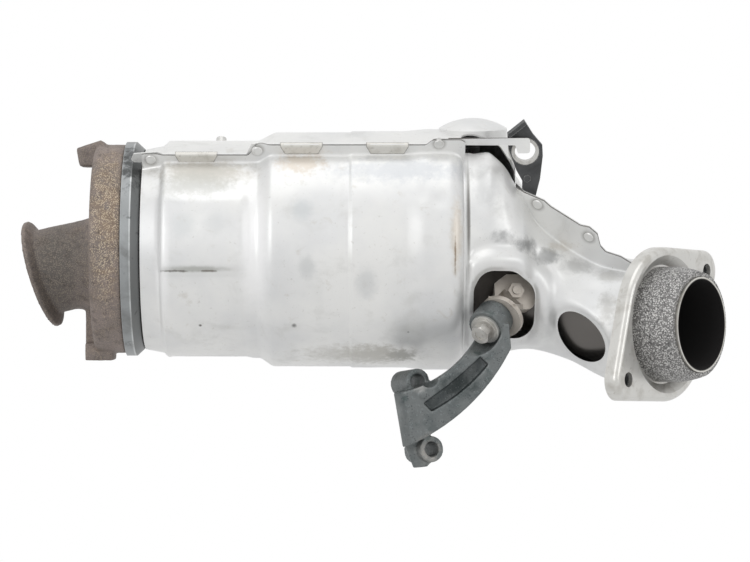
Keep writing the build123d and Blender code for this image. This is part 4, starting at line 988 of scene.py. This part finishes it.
def cast_alloy():
    """Sand-cast aluminium gone dark blue-grey, brighter on its edges, with painted shade in a pocket."""
    finish = Finish("cast_alloy", (112, 116, 116), 0.45, 0.44)
    finish.paint(finish.blotches(60, 0.42, 0.7), (82, 89, 90), 0.8)
    finish.paint(finish.blotches(95, 0.56, 0.7), (62, 76, 74), 0.6)
    # Painted shade in the arm's pocket
    finish.paint(finish.spot((60, -80, -99), 15, (1.5, 1, 0.9), 0.35), (44, 54, 54), 0.8)
    finish.paint(finish.spot((41, -84, -149), 17, (1, 1.5, 1), 0.25), (176, 172, 166), 0.75)
    finish.paint(finish.spot((33, -86, -97), 10, (1, 1.5, 1), 0.35), (168, 168, 165), 0.6)
    finish.paint(finish.spot((16, -88, -124), 22, (0.22, 1, 1), 0.2), (146, 149, 149), 0.6)
    finish.paint(finish.speckle(760, 0.45, 0.5), (136, 143, 145), 0.5)
    finish.paint(finish.speckle(620, 0.4, 0.5), (52, 58, 60), 0.6)
    finish.paint(finish.edges(1.2, 5), (172, 177, 177), 0.8)
    grain = finish.noise(finish.where, 520, 5, 0.65)
    return finish.done(height=grain, strength=0.45, distance=0.7)


def worn_steel(name, base, dark, roughness, metallic, dust=None):
    """Plain steel with darker patches, bright edges and, where given, settled dust."""
    finish = Finish(name, base, metallic, roughness)
    finish.paint(finish.blotches(70, 0.45, 0.7), dark, 0.6)
    finish.paint(finish.blotches(200, 0.6, 0.72), dark, 0.5)
    if dust is not None:
        finish.paint(finish.blotches(45, 0.35, 0.6), dust, 0.7)
    finish.paint(finish.edges(0.6, 4), (236, 236, 234), 0.5)
    grain = finish.noise(finish.where, 600, 4, 0.6)
    return finish.done(height=grain, strength=0.2, distance=0.25)


def folded_tab_sheet():
    """Dull sheet of the folded tabs, greyer in patches, and darker along its outline."""
    finish = Finish("folded_tab_sheet", (222, 220, 214), 0.35, 0.42)
    finish.paint(finish.blotches(110, 0.45, 0.7), (186, 182, 173), 0.6)
    finish.paint(finish.blotches(420, 0.58, 0.7), (150, 145, 136), 0.5)
    finish.paint(finish.edges(1.1, 9), (88, 85, 79), 0.95)
    grain = finish.noise(finish.where, 600, 4, 0.6)
    return finish.done(height=grain, strength=0.2, distance=0.25)


def porous_ring():
    """Pressed mesh-and-graphite ring: dark grey with bright and black grains."""
    finish = Finish("porous_ring", (126, 125, 124), 0.3, 0.55)
    finish.paint(finish.speckle(620, 0.46, 0.58), (64, 63, 63), 0.85)
    finish.paint(finish.speckle(820, 0.54, 0.66), (214, 213, 211), 0.95)
    grain = finish.cells(finish.where, 820)
    return finish.done(height=grain, strength=0.6, distance=0.6)


def sooty_pipe():
    """Steel pipe with a bright rim, soot inside, and painted shade on its outside under the shield.

    A point's depth is its place along the pipe's axis from the open end, and its distance is how
    far it lies from that axis.
    """
    finish = Finish("sooty_pipe", (206, 204, 198), 0.85, 0.38)
    finish.paint(finish.blotches(50, 0.45, 0.7), (166, 162, 152), 0.7)
    axis = tuple(OUTLET_AXIS)
    from_end = finish.vector("SUBTRACT", {0: finish.where, 1: tuple(to_scene(PIPE_END))})
    depth = finish.vector("DOT_PRODUCT", {0: from_end, 1: axis}, "Value")
    along = finish.vector("SCALE", {0: axis, "Scale": depth})
    radial = finish.vector("SUBTRACT", {0: from_end, 1: along})
    distance = finish.vector("LENGTH", {0: radial}, "Value")
    inside = finish.span(distance, BARE_RIM_R * MM, SOOT_R * MM)
    # Painted shade on the pipe's outside under the shield
    finish.paint(finish.span(depth, PAINTED_SHADE_START * MM, PAINTED_SHADE_FULL * MM), (104, 101, 98))
    finish.paint(inside, (26, 24, 24))
    rough = finish.blend(inside, 0.36, 0.85)
    shine = finish.blend(inside, 0.85, 0.1)
    return finish.done(roughness=rough, metallic=shine)


# Spots of the shields, painted highlights, painted shade and painted shadows among them: centre, radius,
# stretch, colour, strength and how ragged
CAN_SPOTS = (
    # Painted highlights: white bands on the slope, the rim's step and the top of the upper panel
    ((-87, -80, 0), 62, (0.26, 1, 1), (250, 250, 250), 0.85, 0.08),
    ((-154.5, -76, -8), 56, (0.13, 1, 1), (250, 250, 250), 0.8, 0.08),
    ((-127, -71, 38), 7.5, (4.4, 2, 1), (250, 250, 250), 0.8, 0.1),
    ((-122, -60, 55), 14, (3.3, 1.5, 1), (198, 194, 186), 0.8, 0.25),
    # Painted shade in the crease under the upper panel
    ((-130, -79, -15.5), 4.2, (7.6, 5, 0.8), (178, 179, 174), 0.8, 0.15),
    ((-139, -80.4, 16.2), 12, (1, 1.5, 1.1), (208, 211, 211), 0.55, 0.15),
    ((-117, -80.4, 17), 11, (1, 1.5, 1.1), (210, 212, 212), 0.5, 0.15),
    ((25.7, -80, 12), 1.3, (1, 1.5, 1), (70, 66, 60), 0.9, 0.3),
    ((37, -80, 18), 1.1, (1, 1.5, 1), (80, 76, 70), 0.9, 0.3),
    ((-58, -78, -32), 1.2, (1, 1.5, 1), (74, 70, 64), 0.9, 0.3),
    ((24.1, -66, -62), 1.6, (1, 1.5, 1), (84, 80, 74), 0.9, 0.4),
    ((-128, -58, -57), 1.4, (1, 1.5, 1), (84, 80, 74), 0.9, 0.4),
    # Painted shade along the underside
    ((-10, -42, -78), 30, (1.9, 1.5, 0.35), (186, 184, 177), 0.6, 0.35),
    # Painted shadows round the rivets
    ((-164.6, -52.3, 65.5), 7.2, (1, 1, 1), (120, 116, 110), 0.85, 0.06),
    ((-86.2, -58, 72.7), 7.2, (1, 1, 1), (120, 116, 110), 0.85, 0.06),
    ((46.8, -61.7, 77.2), 7.2, (1, 1, 1), (120, 116, 110), 0.85, 0.06),
    # Darker lines along the crease under the upper panel
    ((-145.7, -79, -16.9), 1.3, (10, 8, 0.8), (96, 92, 84), 0.75, 0.5),
    ((-120.4, -79, -16.9), 1.3, (8, 8, 0.7), (106, 100, 90), 0.75, 0.5),
    ((-130, -62, 58), 30, (1.6, 1, 0.3), (196, 193, 185), 0.7, 0.4),
    ((20, -62, 56), 34, (2.2, 1, 0.4), (188, 192, 198), 0.55, 0.3),
    ((-52.9, -84, 27.6), 11, (1, 1.5, 1.1), (204, 208, 210), 0.6, 0.15),
    ((-49.2, -87, -13.7), 9, (1, 1, 1.3), (198, 200, 200), 0.55, 0.2),
    ((-6.2, -84.5, -26.3), 12, (0.9, 1, 1.5), (206, 208, 208), 0.6, 0.2),
    ((-54.4, -62, 62.1), 17, (1.4, 1, 0.7), (208, 194, 176), 0.6, 0.5),
    ((59, -86, 10), 30, (0.2, 1, 1.2), (206, 197, 184), 0.75, 0.3),
    ((58, -86, -3), 17, (0.055, 1, 1.2), (136, 118, 98), 0.85, 0.35),
    ((18.4, -42, -80), 12, (1.3, 1.4, 0.7), (126, 126, 121), 0.8, 0.4),
    # Painted shade along the underside
    ((0, -44, -80), 26, (1.2, 1.2, 0.5), (184, 182, 175), 0.6, 0.4),
    ((-130, -70, 47), 34, (1.1, 1, 0.45), (190, 190, 184), 0.6, 0.4),
    ((-59.1, -67, -56.2), 2.6, (1, 1, 1), (120, 120, 118), 0.9, 0.2),
)

OUTLET_SPOTS = (
    # Painted shade where the outlet's shield meets the can's shield
    ((68, -60, 22), 66, (0.03, 1.6, 0.8), (96, 93, 88), 0.85, 0.03),
    # Painted shade: soft grey shading on the duct, in the valley above the window's crest and on the
    # underside
    ((80, -62, 44), 16, (0.8, 2, 1.4), (196, 197, 197), 0.6, 0.25),
    ((90, -58, 26), 12, (1, 2, 1.2), (188, 188, 186), 0.5, 0.3),
    ((128, -46, -52), 12, (0.7, 2, 2), (196, 197, 197), 0.6, 0.2),
    ((186, -60, -70), 16, (0.8, 2, 1.4), (190, 188, 183), 0.5, 0.3),
    ((92, -62, 9), 11, (1.2, 2, 0.7), (150, 151, 151), 0.75, 0.3),
    ((108, -57, 2), 11, (1.1, 2, 0.8), (138, 139, 139), 0.8, 0.3),
    ((126, -52, -6), 12, (1.2, 2, 0.7), (146, 147, 146), 0.8, 0.3),
    ((148, -50, -13), 13, (1.3, 2, 0.6), (170, 170, 168), 0.6, 0.3),
    ((172, -52, -20), 12, (1.3, 2, 0.6), (176, 175, 171), 0.6, 0.3),
    ((170, -58, -44), 13, (0.8, 2, 1.3), (168, 167, 163), 0.6, 0.35),
    ((138, -50, 2), 12, (1.2, 2, 0.5), (202, 196, 186), 0.5, 0.4),
    ((140, -52, -86), 14, (1.5, 2, 0.6), (186, 184, 178), 0.5, 0.3),
    # Painted shadows round the rivets
    ((120, -47, 32.9), 7.4, (1, 1, 1), (112, 108, 102), 0.9, 0.06),
    ((157.4, -52.4, 8.9), 7.4, (1, 1, 1), (112, 108, 102), 0.9, 0.06),
)

# Finishes by name: worn_steel takes a base, a darker colour, roughness, metal and dust
finishes = {
    "can_shield": aluminised_sheet("can_shield_sheet", CAN_SPOTS),
    "sheet": aluminised_sheet("aluminised_sheet"),
    "outlet_sheet": aluminised_sheet("outlet_shield_sheet", OUTLET_SPOTS),
    # Cut edges: the darker bare steel of the cut, and painted shade of the dark line in the seam's gap
    "cut_edge": worn_steel("cut_sheet_edge", (88, 84, 80), (52, 49, 46), 0.6, 0.3),
    "tab": folded_tab_sheet(),
    # Heat tint, darkened further as painted shade where the can and cone are seen inside the shields
    "heat_tint_and_shade": worn_steel("heat_tinted_and_shaded_steel", (62, 58, 54), (36, 33, 31), 0.65, 0.3),
    "rivet": worn_steel("rivet_steel", (228, 228, 226), (196, 195, 191), 0.36, 0.4),
    "cast_iron": rusty_cast_iron(),
    "ring": ring_steel(),
    "alloy": cast_alloy(),
    "steel": worn_steel("bright_steel", (200, 199, 195), (150, 146, 139), 0.38, 0.6),
    "flange": worn_steel("flange_steel", (214, 213, 209), (170, 166, 158), 0.3, 0.55),
    "bolt": worn_steel("bolt_steel", (196, 194, 189), (120, 115, 109), 0.32, 0.6),
    "dusty": worn_steel(
        "dusty_steel", (184, 176, 166), (122, 114, 106), 0.5, 0.3, (206, 199, 190),
    ),
    "dark": worn_steel("dark_steel", (78, 79, 80), (44, 45, 46), 0.55, 0.4),
    "porous": porous_ring(),
    "pipe": sooty_pipe(),
    "ceramic": worn_steel("ceramic_brick", (170, 166, 160), (120, 116, 110), 0.85, 0.0),
    "mat": worn_steel("fibre_mat", (214, 210, 200), (190, 184, 170), 0.95, 0.0),
}

# The CAD nodes of each finish, also those that a piece of the scene stands for
NODE_FINISHES = {
    "alloy": ["support_arm"],
    "bolt": ["arm_bolt"],
    "can_shield": ["body_shield_front"],
    "cast_iron": ["inlet_casting"],
    "ceramic": ["oxidation_brick", "filter_brick"],
    "dark": ["flange_nuts", "stay_plate"],
    "dusty": ["hanger_plate", "hanger_nut", "hanger_stud", "hanger_weld_nut"],
    "flange": ["outlet_flange"],
    "heat_tint_and_shade": ["can_shell", "outlet_cone"],
    "mat": ["oxidation_mat", "filter_mat"],
    "pipe": ["outlet_pipe"],
    "porous": ["donut_gasket"],
    "ring": ["joint_ring"],
    "rivet": ["body_rivets", "outlet_rivets", "pressure_tap_front", "pressure_tap_rear"],
    "sheet": ["rear_shield", "outlet_shield_front", "shield_strip"],
    "steel": ["arm_washer", "stay_collar", "temp_sensor_boss"],
}
for finish_name, node_names in NODE_FINISHES.items():
    for node_name in node_names:
        mesh = nodes[node_name].data
        mesh.materials.clear()
        mesh.materials.append(finishes[finish_name])

make_can_shield()
make_outlet_shield()
for tab_x in TAB_CENTRES:
    make_seam_tab(tab_x)
make_seam_strip()
for node_name, skin_values, finish_name, slot_name in CASTINGS:
    skin = cast_copy(node_name, node_name + "_skin", *skin_values)
    give_materials(skin, finish_name)
    dress(skin, [node_name])


# Stage, light and camera

def seen_share(graph):
    """1 for rays of the camera, of gloss and of glass, and 0 for the rays that light a matt surface."""
    path = graph.node("LightPath")
    seen = graph.math("MAXIMUM", path.outputs["Is Camera Ray"], path.outputs["Is Glossy Ray"])
    return graph.math("MAXIMUM", seen, path.outputs["Is Transmission Ray"])


def pale_floor():
    """Matt stage surface that the camera, gloss and glass see as nearly white."""
    material = bpy.data.materials.new("pale_floor")
    material.use_nodes = True
    graph = Graph(material.node_tree)
    shader = material.node_tree.nodes["Principled BSDF"]
    shader.inputs["Base Color"].default_value = FLOOR_SHADE
    shader.inputs["Roughness"].default_value = 0.9
    glow = graph.node("Emission", {"Color": WHITE, "Strength": 1.0}).outputs[0]
    share = graph.math("MULTIPLY", seen_share(graph), FLOOR_GLOW)
    both = graph.node("MixShader", {0: share, 1: shader.outputs[0], 2: glow})
    surface = material.node_tree.nodes["Material Output"].inputs["Surface"]
    graph.feed(surface, both.outputs[0])
    return material


def make_floor():
    """Square floor well below the part."""
    far = FLOOR_HALF
    corners = [(-far, -far, FLOOR_Z), (far, -far, FLOOR_Z), (far, far, FLOOR_Z), (-far, far, FLOOR_Z)]
    floor = new_object("floor", to_scene(corners), [(0, 1, 2, 3)])
    floor.data.materials.append(pale_floor())


def make_world():
    """Even white surroundings: full white for the camera, less for light on the part."""
    world = bpy.data.worlds.new("studio")
    bpy.context.scene.world = world
    world.use_nodes = True
    graph = Graph(world.node_tree)
    background = world.node_tree.nodes["Background"]
    background.inputs["Color"].default_value = WHITE
    graph.feed(background.inputs["Strength"], graph.blend(seen_share(graph), WORLD_LIGHT, 1.0))


def add_lamp(name, place, target, size, power):
    """Square soft lamp at a place in the can's frame, facing a target."""
    lamp = bpy.data.lights.new(name, "AREA")
    lamp.shape = "SQUARE"
    lamp.size = size * MM
    lamp.energy = power
    made = link(bpy.data.objects.new(name, lamp))
    start = Vector(to_scene(place))
    aim = Vector(to_scene(target)) - start
    turned = aim.to_track_quat("-Z", "Y").to_matrix().to_4x4()
    made.matrix_world = Matrix.Translation(start) @ turned


def make_camera():
    """Camera whose lens gives SCALE_AT_AXIS millimetres to a pixel at the can's axis."""
    data = bpy.data.cameras.new("camera")
    data.sensor_width = SENSOR
    data.lens = SENSOR / PICTURE_WIDTH * CAMERA_DISTANCE / SCALE_AT_AXIS
    data.clip_end = 100.0
    camera = link(bpy.data.objects.new("camera", data))
    camera.location = to_scene((0.0, -CAMERA_DISTANCE, CAMERA_HEIGHT))
    camera.rotation_euler = (radians(90), 0.0, 0.0)
    bpy.context.scene.camera = camera


make_floor()
make_world()
for lamp_values in LAMPS:
    add_lamp(*lamp_values)
make_camera()

bpy.context.scene.view_settings.view_transform = "Standard"
